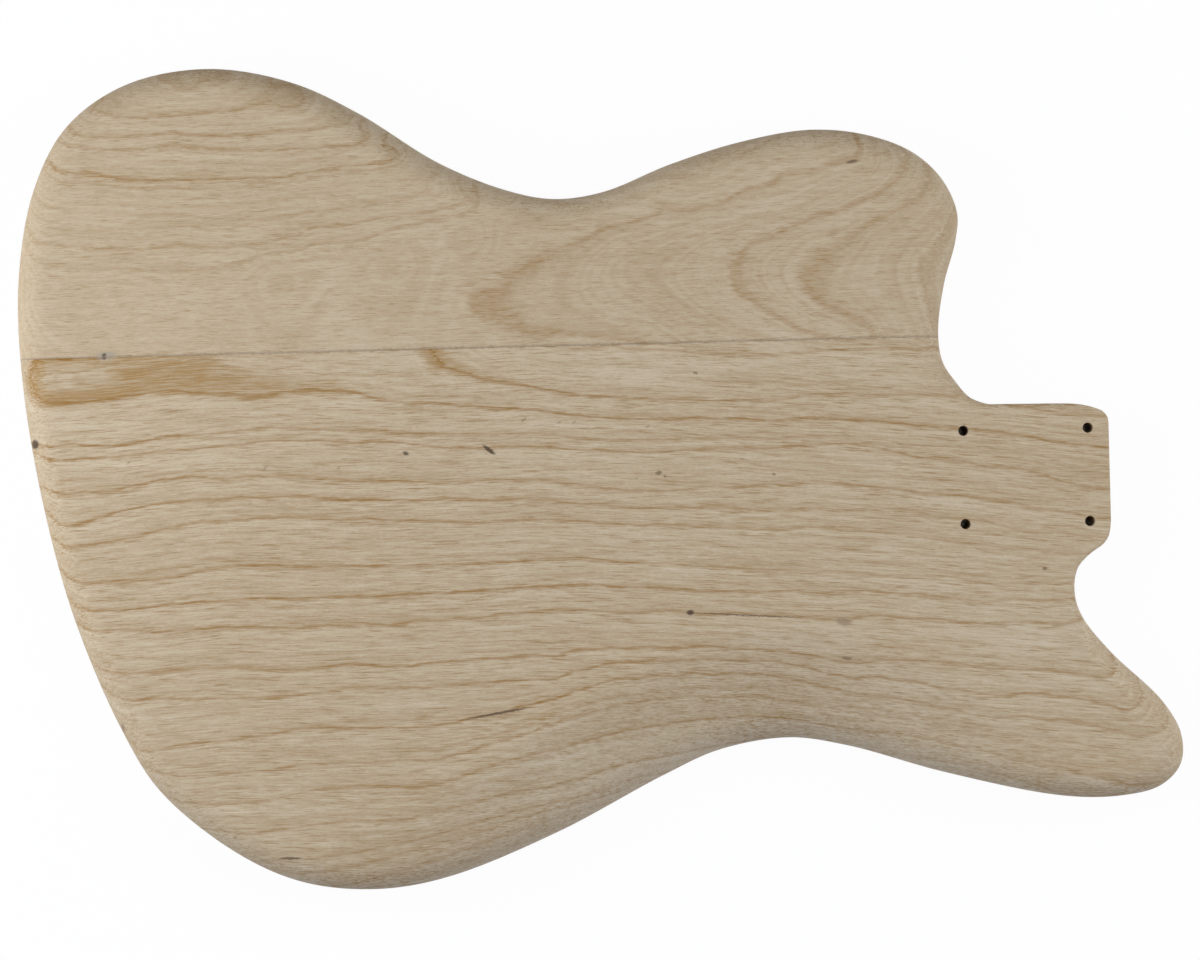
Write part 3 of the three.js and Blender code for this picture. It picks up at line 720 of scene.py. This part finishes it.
trebleGrain = {
    "levels": [0, 13, 22, 28, 39, 42, 58, 66, 74],
    "strengthAt": [-12, 0],
    "strengths": [(0.3, 0.3), (0.6, 0.3), (0.6, 0.3), (0.6, 0.3), (0.85, 0.4), (0.3, 0.45),
                  (0.2, 0.48), (0.45, 0.08), (0.35, 0.5)],
    "fibres": [(-200, 0), (200, 0)],
    "lineWidth": (1, 1.8), "perDepth": 0.14,
    "guides": [(-4, -115, 171.5), (76.5, -20, 104), (76.5, 5, 109), (76.5, 15, 115),
               (77, -100, 75), (77.5, -60, 80), (77, -140, 80), (76.5, -180, 82),
               (77, -160, 60), (77, -100, 58), (77.5, -30, 62), (77, -14, 90), (76, -12, 66)],
    "lines": [
        [(-130, 171), (-125, 169), (-113, 168), (-103, 169), (-99.5, 171), (-103, 173),
         (-112, 174), (-124, 173.5)],
        [(-152, 164), (-157, 160), (-154, 158.3), (-148, 156.5), (-141, 155.8), (-128, 155.7),
         (-119, 156.2), (-108, 157), (-97, 157.8), (-78, 158), (-72, 158.7), (-70, 161),
         (-72, 165), (-76, 168), (-85, 170)],
        [(-166, 152), (-164, 149.8), (-160, 148.3), (-152, 148.2), (-128, 148.3), (-120, 148),
         (-113, 147.5), (-104, 147), (-95, 147), (-85, 147.8), (-75, 148.8), (-60, 149.8),
         (-55, 150.5), (-51, 152), (-53, 155), (-57, 158)],
        [(-170, 146.5), (-167, 144.7), (-163, 143.7), (-155, 143.3), (-148, 142.5),
         (-140, 142.3), (-133, 143.2), (-126, 143.9), (-121, 143.9), (-118, 142.3),
         (-113, 142.8), (-107, 141.8), (-98, 141.3), (-78, 141.2), (-60, 141.7), (-53, 141.5),
         (-48, 142), (-45, 144.5), (-45, 147), (-48, 150)],
        [(-175, 138), (-172, 135.5), (-169, 133.8), (-163, 133), (-158, 132.5), (-152, 131.3),
         (-147, 130.3), (-140, 129.9), (-130, 129.2), (-120, 129), (-112, 128.8), (-98, 128.9),
         (-92, 129.5), (-80, 129), (-70, 130.5), (-60, 132), (-50, 133), (-42, 134), (-36, 135),
         (-32, 136.5), (-33, 139), (-38, 143)],
        [(-177, 136), (-175, 133), (-170, 130.5), (-160, 130), (-150, 128.3), (-140, 127.2),
         (-130, 127), (-120, 126.7), (-110, 126), (-100, 126), (-90, 126.5), (-80, 127.3),
         (-70, 129), (-60, 130.5), (-50, 131.3), (-42, 132), (-35, 133), (-30, 135), (-29, 137)],
        [(-180, 116), (-175, 114), (-165, 112), (-150, 110.5), (-130, 109.7), (-110, 109),
         (-100, 109.5), (-95, 111), (-90, 112.8), (-80, 114), (-60, 116), (-40, 118.5),
         (-30, 119.5), (-25, 121), (-21, 124), (-20, 127)],
        [(-183, 108), (-177, 104.5), (-170, 104), (-165, 103), (-155, 101.8), (-140, 101.3),
         (-130, 102), (-123, 103), (-118, 102.5), (-112, 101.8), (-95, 102.5), (-88, 103),
         (-80, 104.5), (-74, 105.5), (-70, 108), (-65, 109.3), (-60, 109), (-50, 110),
         (-40, 112), (-30, 112.7), (-20, 113.5), (-10, 115.5), (-5, 118), (-4, 120), (-6, 122)],
        [(-187, 108), (-185, 103), (-183, 100), (-178, 97), (-170, 95), (-160, 94), (-145, 94.5),
         (-140, 93.5), (-130, 92.5), (-110, 92.5), (-100, 94.5), (-90, 97.5), (-85, 99.3),
         (-70, 101), (-60, 102.5), (-45, 104.3), (-40, 106), (-30, 108.5), (-20, 110.7),
         (-10, 111.5), (-5, 113), (-1, 116), (0, 119), (-1, 121)],
    ],
    "figure": [
        (0.16, 6, [(-3, 83), (2, 76), (6, 70)]), (0.18, 5, [(106, 92), (104, 84), (108, 78)]),
        (0.18, 5, [(141, 92), (135, 84), (139, 76)]), (0.3, 3, [(-160, 132.5), (-138, 131)]),
        (0.3, 2.5, [(-118, 130), (-108, 129.8)]),
    ],
    # The nested tongues of the treble horn fall back through the same rings
    "hornLevels": [-10, 2, 14, 26, 38, 50, 58, 66, 74],
    "hornLines": {
        8: [(157, 137), (155, 131), (150, 130.3), (143, 128.5), (137, 126.5), (125, 125.3),
            (122, 123), (118, 121), (110, 120), (104, 117), (100, 114.5), (93, 113.3),
            (85, 111.5), (79, 112.5), (76, 113.5), (73, 110.5), (65, 108), (57, 106.5),
            (50, 104.5), (46, 102), (38, 98.5), (32, 96.5), (27, 95.5), (24, 93), (20, 90),
            (15, 87.5), (12, 85), (10, 82), (9, 80), (5, 78.5), (-2, 77.5), (-3, 76.5), (3, 75),
            (8, 71), (12, 69), (16, 66), (19, 63.5), (25, 62.8), (32, 63.7), (38, 63.2),
            (45, 62), (55, 60.5), (65, 58.5)],
        7: [(60, 90), (70, 93), (75, 96), (80, 98), (90, 102), (97, 104.3), (105, 106),
            (120, 109.5), (130, 111)],
        6: [(170, 138), (175, 135), (176, 131), (175, 128), (173, 124.5), (170, 121.5),
            (167, 119), (162, 116), (157, 114), (152, 112), (148, 110), (137, 107.5),
            (130, 105), (125, 103), (120, 100), (110, 98), (107, 94), (104, 90), (103, 86),
            (104, 80), (107, 76.5), (112, 73), (117, 70), (122, 67.3), (127, 64.3), (131, 62),
            (136, 60.5), (144, 58)],
        5: [(184, 127), (185, 124), (185, 121), (183, 118.5), (180, 115.5), (176, 112.5),
            (171, 109.5), (162, 105), (157, 103), (154, 99.5), (150, 96), (145, 93),
            (141, 90), (138, 87.5), (134, 85), (133, 81), (135, 78), (139, 74), (143, 71),
            (148, 69.5), (152, 67), (157, 64.5), (161, 59)],
        4: [(194, 108), (191, 101), (188, 97), (185, 92), (181.5, 89.5), (180.5, 85),
            (181, 80), (182.5, 74), (184, 68), (185, 62)],
    },
}


growing = {
    # The field through the lines: its unit in millimetres, how freely it may pass them by, and how
    # many places are worked out at a time
    "unit": 100, "stiffness": 2e-4, "block": 3000,
    # Beyond the last line drawn, the rings go on this far and this far apart, in millimetres
    "beyond": 200, "apart": 11,
    # Along the treble board, its horn's own rings come in from one x to the other
    "hornFrom": -12, "hornFull": 0,
    # Wood under the carved back by more than this has its rings shifted by the depth
    "skinDepth": 0.6, "ringWidths": (1.5, 40),
    # A brown stroke is full up to half its spread, and is gone at this many spreads and this deep
    "strokeEnd": 1.5, "strokeDepth": 8,
    # Slopes: from this upright share of the normal, how fast they grow, how fast they fade where
    # the end grain shows and on walls, and what is left there
    "flat": 0.99, "slopeGain": 4.5, "endFade": 2.5, "wallFade": 2, "wallLeast": 0.2,
}


def ringField(grain):
    # Thin-plate surface through every point of every line, each line at its own level
    known = [(level, x, y) for level, line in zip(grain["levels"], grain["lines"])
             for x, y in line]
    known += [(grain["hornLevels"][n], x, y) for n, line in grain.get("hornLines", {}).items()
              for x, y in line]
    known = np.array(known + grain["guides"], float)
    unit = growing["unit"]
    centres = known[:, 1:] / unit
    squares = ((centres[:, None] - centres[None]) ** 2).sum(axis=2)
    count = len(known)
    system = np.zeros((count + 3, count + 3))
    system[:count, :count] = (0.5 * squares * np.log(squares + 1e-12)
                              + growing["stiffness"] * np.eye(count))
    system[:count, count] = system[count, :count] = 1
    system[:count, count + 1:] = centres
    system[count + 1:, :count] = centres.T
    weights = np.linalg.solve(system, np.concatenate([known[:, 0], np.zeros(3)]))

    def fieldAt(places):
        # Level, and how it changes along x and y per millimetre
        levels, slopes = [], []
        for block in np.array_split(places / unit, max(1, len(places) // growing["block"])):
            apart = block[:, None] - centres[None]
            squares = (apart ** 2).sum(axis=2)
            logs = np.log(squares + 1e-12)
            levels.append((0.5 * squares * logs) @ weights[:count] + weights[count]
                          + block @ weights[count + 1:])
            pull = (logs + 1) * weights[:count]
            slopes.append((pull[..., None] * apart).sum(axis=1) + weights[count + 1:])
        return np.concatenate(levels), np.concatenate(slopes) / unit

    return fieldAt


def ringNumber(level, levels):
    # Smooth rising curve from a level to the number of rings passed, and its slope
    turn = 1 if levels[-1] > levels[0] else -1
    knots = turn * np.array(levels, float)
    first, last = 2 * knots[0] - knots[1], 2 * knots[-1] - knots[-2]
    beyond, apart = growing["beyond"], growing["apart"]
    knots = np.concatenate([[first - beyond, first], knots, [last, last + beyond]])
    heights = np.arange(len(knots), dtype=float) - 2
    heights[0], heights[-1] = heights[1] - beyond / apart, heights[-2] + beyond / apart
    steps = np.diff(knots)
    rates = np.diff(heights) / steps
    tangents = np.concatenate([
        [rates[0]], 2 * rates[1:] * rates[:-1] / (rates[1:] + rates[:-1]), [rates[-1]]])
    place = np.clip(turn * level, knots[0], knots[-1] - 1e-6)
    k = np.searchsorted(knots, place, side="right") - 1
    u = (place - knots[k]) / steps[k]
    a, b, ta, tb = heights[k], heights[k + 1], tangents[k] * steps[k], tangents[k + 1] * steps[k]
    value = (a + (b - a) * u * u * (3 - 2 * u)
             + ta * u * (1 - u) ** 2 + tb * u * u * (u - 1))
    slope = 6 * u * (1 - u) * (b - a) + ta * (1 - u) * (1 - 3 * u) + tb * u * (3 * u - 2)
    return value, turn * slope / steps[k]


def backSurface(places):
    # Height of the back above each x, y, from the nearest station of the outline
    heights = np.full(len(places), bodyThickness)
    for part in np.array_split(np.arange(len(places)), max(1, len(places) // growing["block"])):
        apart = places[part, None] - stations[None, :, :2]
        near = (apart ** 2).sum(axis=2).argmin(axis=1)
        inset = (apart[np.arange(len(part)), near] * inward[near]).sum(axis=1)
        heights[part] -= sunk(np.maximum(inset, 0), ribDepth[near], ribReach[near],
                              backRadius[near])
    return heights


# What each point of a board is given, and its material reads
growth = ("ring", "ringWidth", "strength", "fibre", "figure", "lineWidth", "slope", "crossing")


def growRings(piece, grain):
    # Find the ring, its width and strength, the fibre's place and the figure at every point
    mesh = piece.data
    count = len(mesh.vertices)
    points, normals = np.empty(count * 3), np.empty(count * 3)
    mesh.vertices.foreach_get("co", points)
    mesh.vertices.foreach_get("normal", normals)
    points, normals = points.reshape(-1, 3) * 1000, normals.reshape(-1, 3)
    level, slope = ringField(grain)(points[:, :2])
    ring, rate = ringNumber(level, grain["levels"])
    share = np.clip((points[:, 0] - growing["hornFrom"])
                    / (growing["hornFull"] - growing["hornFrom"]), 0, 1)
    if "hornLines" in grain:
        hornRing, hornRate = ringNumber(level, grain["hornLevels"])
        ring += share * (hornRing - ring)
        rate += share * (hornRate - rate)
    numbers = np.arange(len(grain["levels"]))
    byPlace = np.stack([np.interp(ring, numbers, column) for column in zip(*grain["strengths"])])
    reached = np.interp(points[:, 0], grain["strengthAt"], np.arange(len(byPlace)))
    low = np.minimum(reached.astype(int), len(byPlace) - 2)
    each = np.arange(count)
    strength = byPlace[low, each] + (reached - low) * (byPlace[low + 1, each]
                                                       - byPlace[low, each])
    under = np.maximum(backSurface(points[:, :2]) - points[:, 2] - growing["skinDepth"], 0)
    ring = ring + grain["perDepth"] * under
    tilt = np.column_stack([
        slope * rate[:, None], np.where(under > 0, -grain["perDepth"], 0)])
    tilt -= (tilt * normals).sum(axis=1)[:, None] * normals
    width = np.clip(1 / np.maximum(np.linalg.norm(tilt, axis=1), 1e-3), *growing["ringWidths"])
    fibre = points[:, 1] - np.interp(points[:, 0], *zip(*grain["fibres"]))
    lineWidth = np.interp(share, (0, 1), grain["lineWidth"])
    figure = np.zeros(count)
    for brown, spread, stroke in grain["figure"]:
        for start, end in zip(np.array(stroke[:-1], float), np.array(stroke[1:], float)):
            along = np.clip(((points[:, :2] - start) @ (end - start)
                             / ((end - start) ** 2).sum()), 0, 1)
            gap = np.linalg.norm(points[:, :2] - start - along[:, None] * (end - start), axis=1)
            figure = np.maximum(figure, brown * np.clip(
                growing["strokeEnd"] - gap / spread, 0, 1))
    figure *= np.clip(1 - under / growing["strokeDepth"], 0, 1)
    # Slopes along the fibres, such as the belly's, where cut pores show as specks; less on walls
    carved = (np.clip(growing["slopeGain"] * (growing["flat"] - normals[:, 2]), 0, 1)
              * np.clip(1 - growing["endFade"] * np.abs(normals[:, 0]), 0, 1)
              * np.clip(growing["wallFade"] * normals[:, 2], growing["wallLeast"], 1))
    crossing = rate * slope[:, 0]  # rings met per millimetre along the fibres
    for name, values in zip(growth, (ring, width, strength, fibre, figure, lineWidth, carved,
                                     crossing)):
        attribute = mesh.attributes.new(name, "FLOAT", "POINT")
        attribute.data.foreach_set("value", values.astype(np.float32))
    print(piece.name, "rings", round(float(ring.min()), 1), "to", round(float(ring.max()), 1))


growRings(bassBoard, bassGrain)
growRings(trebleBoard, trebleGrain)

ash = {
    # Planed and sanded raw ash: cream wood with short pore dashes along the fibres, a thin golden
    # porous line at each ring, streaky brown figure in places, and no sheen
    "dark": "#977f5c", "light": "#c2b59f", "gold": "#845c16", "brown": "#957441",
    "rough": 0.74, "poreRough": 0.85, "ior": 1.45, "specular": 0.3,
    # Cells of each noise in millimetres along the fibres, across them and in depth, and how far
    # it moves the tone. Real pores are 0.2 to 0.3 mm wide; they are drawn 0.4 mm wide to show.
    "cells": {
        "fuzz": (1.8, 0.35, 0.6, 0.34), "fine": (6.5, 0.4, 0.9, 0.42),
        "strands": (22, 0.7, 2, 0.32), "streaks": (80, 2.2, 4, 0.25),
        "drift": (150, 40, 60, 0.25), "pores": (10, 0.4, 0.8, 0), "broken": (14, 1.2, 3, 0),
        "wander": (34, 7, 9, 0), "wiggle": (7, 1.6, 2, 0), "figured": (13, 0.6, 1, 0),
        "specks": (2.6, 0.5, 0.9, 0), "teeth": (12, 0.8, 2, 0),
    },
    "middleTone": 0.56, "pored": 0.68, "lined": 0.6, "speckled": 1.1, "figureDark": 0.14,
    # Faint bands that run along with the rings: millimetres long, number to a ring, strength
    "bands": (45, 8, 0.24),
    # For each board: how strong the fine figure is, how much paler wood starts after a ring, how
    # long its cells are, and how tan the wood just before a ring is
    "contrast": {"bass": 0.85, "treble": 0.58}, "paler": {"bass": 0.05, "treble": 0.012},
    "longer": {"bass": 0.9, "treble": 0.55}, "tan": {"bass": 0.03, "treble": 0.22},
    # How far a ring's line wanders, in two waves, fibres push it, a knot's ragged edge strays and
    # a knot reaches down, in millimetres
    "wander": 0.8, "wiggle": 0.9, "teeth": 4, "ragged": 0.9, "markDepth": 30,
    # Waves of the ragged edge to a millimetre, where a knot fades, in shares of its size, and the
    # bump's strength and its height in metres
    "raggedWaves": 0.9, "markFade": (1.25, 0.6), "bump": (0.35, 0.00008),
}


def ashMaterial(name, board, seed, marks):
    material = bpy.data.materials.new(name)
    tree = emptyTree(material)
    contrast, paler, longer, tan = [
        ash[key][board] for key in ("contrast", "paler", "longer", "tan")]
    here = addNode(tree, "ShaderNodeVectorMath", addNode(tree, "ShaderNodeTexCoord", output=3),
                   (1000, 1000, 1000), operation="MULTIPLY")
    value = {key: addNode(tree, "ShaderNodeAttribute", attribute_name=key, output=2)
             for key in growth}
    lengthways, upwards = [
        addNode(tree, "ShaderNodeSeparateXYZ", here, output=n) for n in (0, 2)]
    along = addNode(tree, "ShaderNodeCombineXYZ", lengthways, value["fibre"], upwards)
    tone = ash["middleTone"]
    for number, (key, (*cell, share)) in enumerate(ash["cells"].items()):
        place = addNode(tree, "ShaderNodeMapping", {
            "Vector": along, "Location": (seed + 7 * number, 3 * number, 0),
            "Scale": (1 / cell[0] / longer, 1 / cell[1], 1 / cell[2])})
        value[key] = addNode(tree, "ShaderNodeTexNoise", {
            "Vector": place, "Scale": 1, "Detail": 2, "Roughness": 0.5})
        if share:
            push = addNode(tree, "ShaderNodeMapRange", value[key], 0, 1,
                           -share * contrast, share * contrast)
            tone = addNode(tree, "ShaderNodeMath", tone, push, operation="ADD")
    value["tone"] = tone
    long, count, banded = ash["bands"]
    place = addNode(tree, "ShaderNodeMapping", {
        "Vector": addNode(tree, "ShaderNodeCombineXYZ", lengthways, value["ring"]),
        "Location": (0, 0, seed), "Scale": (1 / long, count, 1)})
    value["bands"] = addNode(tree, "ShaderNodeTexNoise",
                             {"Vector": place, "Scale": 1, "Detail": 1})

    # One row for each step: what it makes, how, and from what, which is a name or a number.
    # SMOOTHSTEP and LINEAR turn a range of a value, given by two numbers, into another range.
    for made, how, *parts in (
            ("banding", "LINEAR", "bands", 0, 1, -banded, banded),
            ("tone", "ADD", "tone", "banding"),
            # The ring's line wanders a little; distances before and after it, in line widths
            ("wander", "LINEAR", "wander", 0, 1, -ash["wander"], ash["wander"]),
            ("wiggle", "LINEAR", "wiggle", 0, 1, -ash["wiggle"], ash["wiggle"]),
            ("wander", "ADD", "wander", "wiggle"),
            ("wander", "DIVIDE", "wander", "ringWidth"),
            ("ring", "ADD", "ring", "wander"),
            # Fibres push the line lengthways, so its edge is ragged where it crosses them
            ("teeth", "LINEAR", "teeth", 0, 1, -ash["teeth"], ash["teeth"]),
            ("teeth", "MULTIPLY", "teeth", "crossing"),
            ("ring", "ADD", "ring", "teeth"),
            ("passed", "FRACT", "ring"),
            ("lines", "DIVIDE", "ringWidth", "lineWidth"),
            ("after", "MULTIPLY", "passed", "lines"),
            ("before", "SUBTRACT", 1, "passed"),
            ("before", "MULTIPLY", "before", "lines"),
            # The line itself: sharp towards the bark, softer behind, broken into dashes
            ("near", "SMOOTHSTEP", "before", 0.75, 0, 0, 1),
            ("behind", "SMOOTHSTEP", "after", 1.2, 0.05, 0, 1),
            ("near", "MAXIMUM", "near", "behind"),
            ("echo", "SMOOTHSTEP", "after", 2, 0.5, 0, 0.14),
            ("echoStart", "SMOOTHSTEP", "after", 0, 0.4, 0, 1),
            ("echo", "MULTIPLY", "echo", "echoStart"),
            ("near", "ADD", "near", "echo"),
            ("near", "MINIMUM", "near", 1),
            ("broken", "SMOOTHSTEP", "broken", 0.35, 0.65, 0.7, 1.25),
            ("dashed", "SMOOTHSTEP", "fine", 0.35, 0.65, 1.2, 0.75),
            ("dashed", "MULTIPLY", "broken", "dashed"),
            ("line", "MULTIPLY", "near", "strength"),
            ("line", "MULTIPLY", "line", "dashed"),
            ("carved", "SMOOTHSTEP", "slope", 0, 1, 1, 1.8),
            ("line", "MULTIPLY", "line", "carved"),
            # Pores, thicker behind a strong line and in the brown figure, and specks on slopes
            ("porous", "SMOOTHSTEP", "after", 4.5, 0.5, 0, 0.05),
            ("porous", "MULTIPLY", "porous", "strength"),
            ("pores", "ADD", "pores", "porous"),
            ("porous", "MULTIPLY", "figure", 0.06),
            ("pores", "ADD", "pores", "porous"),
            ("pores", "SMOOTHSTEP", "pores", 0.53, 0.74, 0, 1),
            ("specks", "SMOOTHSTEP", "specks", 0.5, 0.68, 0, 1),
            ("specks", "MULTIPLY", "specks", "slope"),
            # All that darkens the cream wood
            ("change", "MULTIPLY", "pores", ash["pored"] * contrast),
            ("tone", "SUBTRACT", "tone", "change"),
            ("change", "MULTIPLY", "specks", ash["speckled"] * contrast),
            ("tone", "SUBTRACT", "tone", "change"),
            ("change", "SMOOTHSTEP", "passed", 0.12, 1, paler, -paler),
            ("tone", "ADD", "tone", "change"),
            ("late", "SMOOTHSTEP", "passed", 0.72, 0.98, 0, tan),
            ("lateEnd", "SMOOTHSTEP", "passed", 1, 0.98, 0, 1),
            ("late", "MULTIPLY", "late", "lateEnd"),
            ("late", "MULTIPLY", "late", "strength"),
            ("tone", "SUBTRACT", "tone", "late"),
            ("change", "MULTIPLY", "figure", ash["figureDark"]),
            ("tone", "SUBTRACT", "tone", "change"),
            # Shares of the brown figure and of the golden line
            ("streaky", "LINEAR", "figured", 0, 1, -2.25, 2.25),
            ("streaky", "ADD", "figure", "streaky"),
            ("streaky", "SMOOTHSTEP", "streaky", 0.4, 1.2, 0.08, 0.6),
            ("brown", "SMOOTHSTEP", "figure", 0.02, 0.3, 0, 1),
            ("brown", "MULTIPLY", "streaky", "brown"),
            ("gold", "MULTIPLY", "line", ash["lined"]),
            ("dents", "MULTIPLY", "line", -0.5),
            ("dents", "SUBTRACT", "dents", "pores"),
            ("rough", "LINEAR", "pores", 0, 1, ash["rough"], ash["poreRough"])):
        parts = [value[part] if isinstance(part, str) else part for part in parts]
        if how in ("LINEAR", "SMOOTHSTEP"):
            value[made] = addNode(tree, "ShaderNodeMapRange", *parts, interpolation_type=how)
        else:
            value[made] = addNode(tree, "ShaderNodeMath", *parts, operation=how)

    colour = linear(ash["dark"])
    for share, over in (("tone", "light"), ("brown", "brown"), ("gold", "gold")):
        colour = addNode(tree, "ShaderNodeMix", {
            0: value[share], 6: colour, 7: linear(ash[over])}, output=2, data_type="RGBA")
    ragged = addNode(tree, "ShaderNodeTexNoise",
                     {"Vector": here, "Scale": ash["raggedWaves"], "Detail": 3}, output=1)
    ragged = addNode(tree, "ShaderNodeVectorMath",
                     {0: ragged, "Scale": ash["ragged"]}, operation="SCALE")
    ragged = addNode(tree, "ShaderNodeVectorMath", here, ragged, operation="ADD")
    aside = ash["ragged"] / 2
    for markColour, share, x, y, long, wide, turn in marks:
        spot = addNode(tree, "ShaderNodeMapping", {
            "Vector": ragged, "Location": (x + aside, y + aside, bodyThickness + aside),
            "Rotation": (0, 0, math.radians(turn)),
            "Scale": (long / 2, wide / 2, ash["markDepth"])}, vector_type="TEXTURE")
        reach = addNode(tree, "ShaderNodeVectorMath", spot, operation="LENGTH", output=1)
        covered = addNode(tree, "ShaderNodeMapRange", reach, *ash["markFade"], 0, share,
                          interpolation_type="SMOOTHSTEP")
        colour = addNode(tree, "ShaderNodeMix", {
            0: covered, 6: colour, 7: linear(markColour)}, output=2, data_type="RGBA")

    strength, distance = ash["bump"]
    bump = addNode(tree, "ShaderNodeBump",
                   {"Strength": strength, "Distance": distance, "Height": value["dents"]})
    surface = addNode(tree, "ShaderNodeBsdfPrincipled", {
        "Base Color": colour, "Roughness": value["rough"], "IOR": ash["ior"],
        "Specular IOR Level": ash["specular"], "Normal": bump})
    addNode(tree, "ShaderNodeOutputMaterial", {"Surface": surface})
    return material


knot, speck, stain, joint = "#4a3a2c", "#6b5a45", "#8f8a80", "#6e6253"
bassMarks = [
    # Colour, share, x, y, length, width and turn, in millimetres and degrees
    (joint, 0.32, 40, 57.85, 700, 0.75, 0),
    # The dark spot at x -184 sits on the left edge's roundover, where the wood is chipped. No dent
    # is modelled, so its dark colour is partly painted shade of the chip.
    (knot, 0.95, -184, 23, 4, 4, 0), (knot, 0.85, -32, 15.5, 2.8, 1.7, -20),
    (knot, 0.95, 2, 16.2, 6.5, 1.8, -38), (speck, 0.8, 71, 5, 3, 1.6, 10),
    (speck, 0.7, 73.5, 3.6, 1.6, 0.8, -30), (speck, 0.7, 118, 3.3, 1.6, 1.2, 0),
    (speck, 0.7, 87, 45.5, 2.2, 1.1, -15), (speck, 0.6, 16.5, 28, 2.6, 0.6, 40),
    (speck, 0.5, 67, 24, 2, 0.8, 30), (speck, 0.5, 37, 26.5, 2, 0.7, 35),
    (speck, 0.5, 31, 26.7, 1.8, 0.7, 20), (speck, 0.4, -59.5, 10.3, 2.2, 0.9, 40),
    (speck, 0.4, -89.5, 11, 2.6, 0.9, 50), (speck, 0.4, -145, 14.5, 2, 0.8, 40),
    (speck, 0.35, -96, -3.5, 1.8, 0.8, 30), (speck, 0.4, 105, 10, 1.6, 0.8, 0),
    (speck, 0.5, 18.5, -11.7, 2.8, 0.6, 0), (speck, 0.4, 62, 3, 1.6, 0.8, 0),
    (knot, 0.95, 82.5, -52.3, 3.2, 2.4, 0), (knot, 0.75, 106, -54, 46, 0.6, -4),
    (speck, 0.45, 145, -57.5, 7, 3.2, -10), (speck, 0.7, 146, -72.7, 4.5, 1.5, -8),
    (speck, 0.8, 227.5, -38, 2, 1.5, 0), (knot, 0.8, 3, -91.4, 27, 1.1, 9),
    (knot, 0.7, -83, -148.5, 9, 1.2, 0), (speck, 0.6, -151, -94, 2, 4, 0),
    (stain, 0.6, -154, 57.8, 7, 2.5, 0), (knot, 0.8, -154, 57.7, 2, 1.6, 0),
]
trebleMarks = [
    (joint, 0.32, 40, 58.15, 700, 0.75, 0),
    (stain, 0.6, -153, 59, 8, 2.4, 0), (knot, 0.8, -154, 58.7, 2, 1.6, 0),
    (knot, 0.7, 153, 130, 5, 1.4, 8),
]


glue = {
    # Cured wood glue sanded flush: a hair-thin dark, slightly shiny line, in patches this long,
    # wide and deep in millimetres
    "dark": "#6a5c4a", "light": "#9c8e78", "patches": (25, 2.5, 2.5), "rough": 0.5, "ior": 1.48,
}


def glueMaterial(name):
    material = bpy.data.materials.new(name)
    tree = emptyTree(material)
    place = addNode(tree, "ShaderNodeMapping", {
        "Vector": addNode(tree, "ShaderNodeTexCoord", output=3),
        "Scale": [1000 / size for size in glue["patches"]]})
    patches = addNode(tree, "ShaderNodeTexNoise", {"Vector": place, "Scale": 1})
    colour = addNode(tree, "ShaderNodeMix", {
        0: patches, 6: linear(glue["dark"]), 7: linear(glue["light"])},
        output=2, data_type="RGBA")
    surface = addNode(tree, "ShaderNodeBsdfPrincipled", {
        "Base Color": colour, "Roughness": glue["rough"], "IOR": glue["ior"]})
    addNode(tree, "ShaderNodeOutputMaterial", {"Surface": surface})
    return material


for piece, node, slot, material in (
        (bassBoard, "bass_side_board", "ash_boards",
         ashMaterial("raw_ash_sanded_bass_side", "bass", 0, bassMarks)),
        (trebleBoard, "treble_side_board", "ash_boards",
         ashMaterial("raw_ash_sanded_treble_side", "treble", 500, trebleMarks)),
        (glueFilm, "glue_line", "wood_glue", glueMaterial("cured_wood_glue_sanded"))):
    piece.data.materials.append(material)
    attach(piece, "root")
    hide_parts(node)
print("finishes applied")
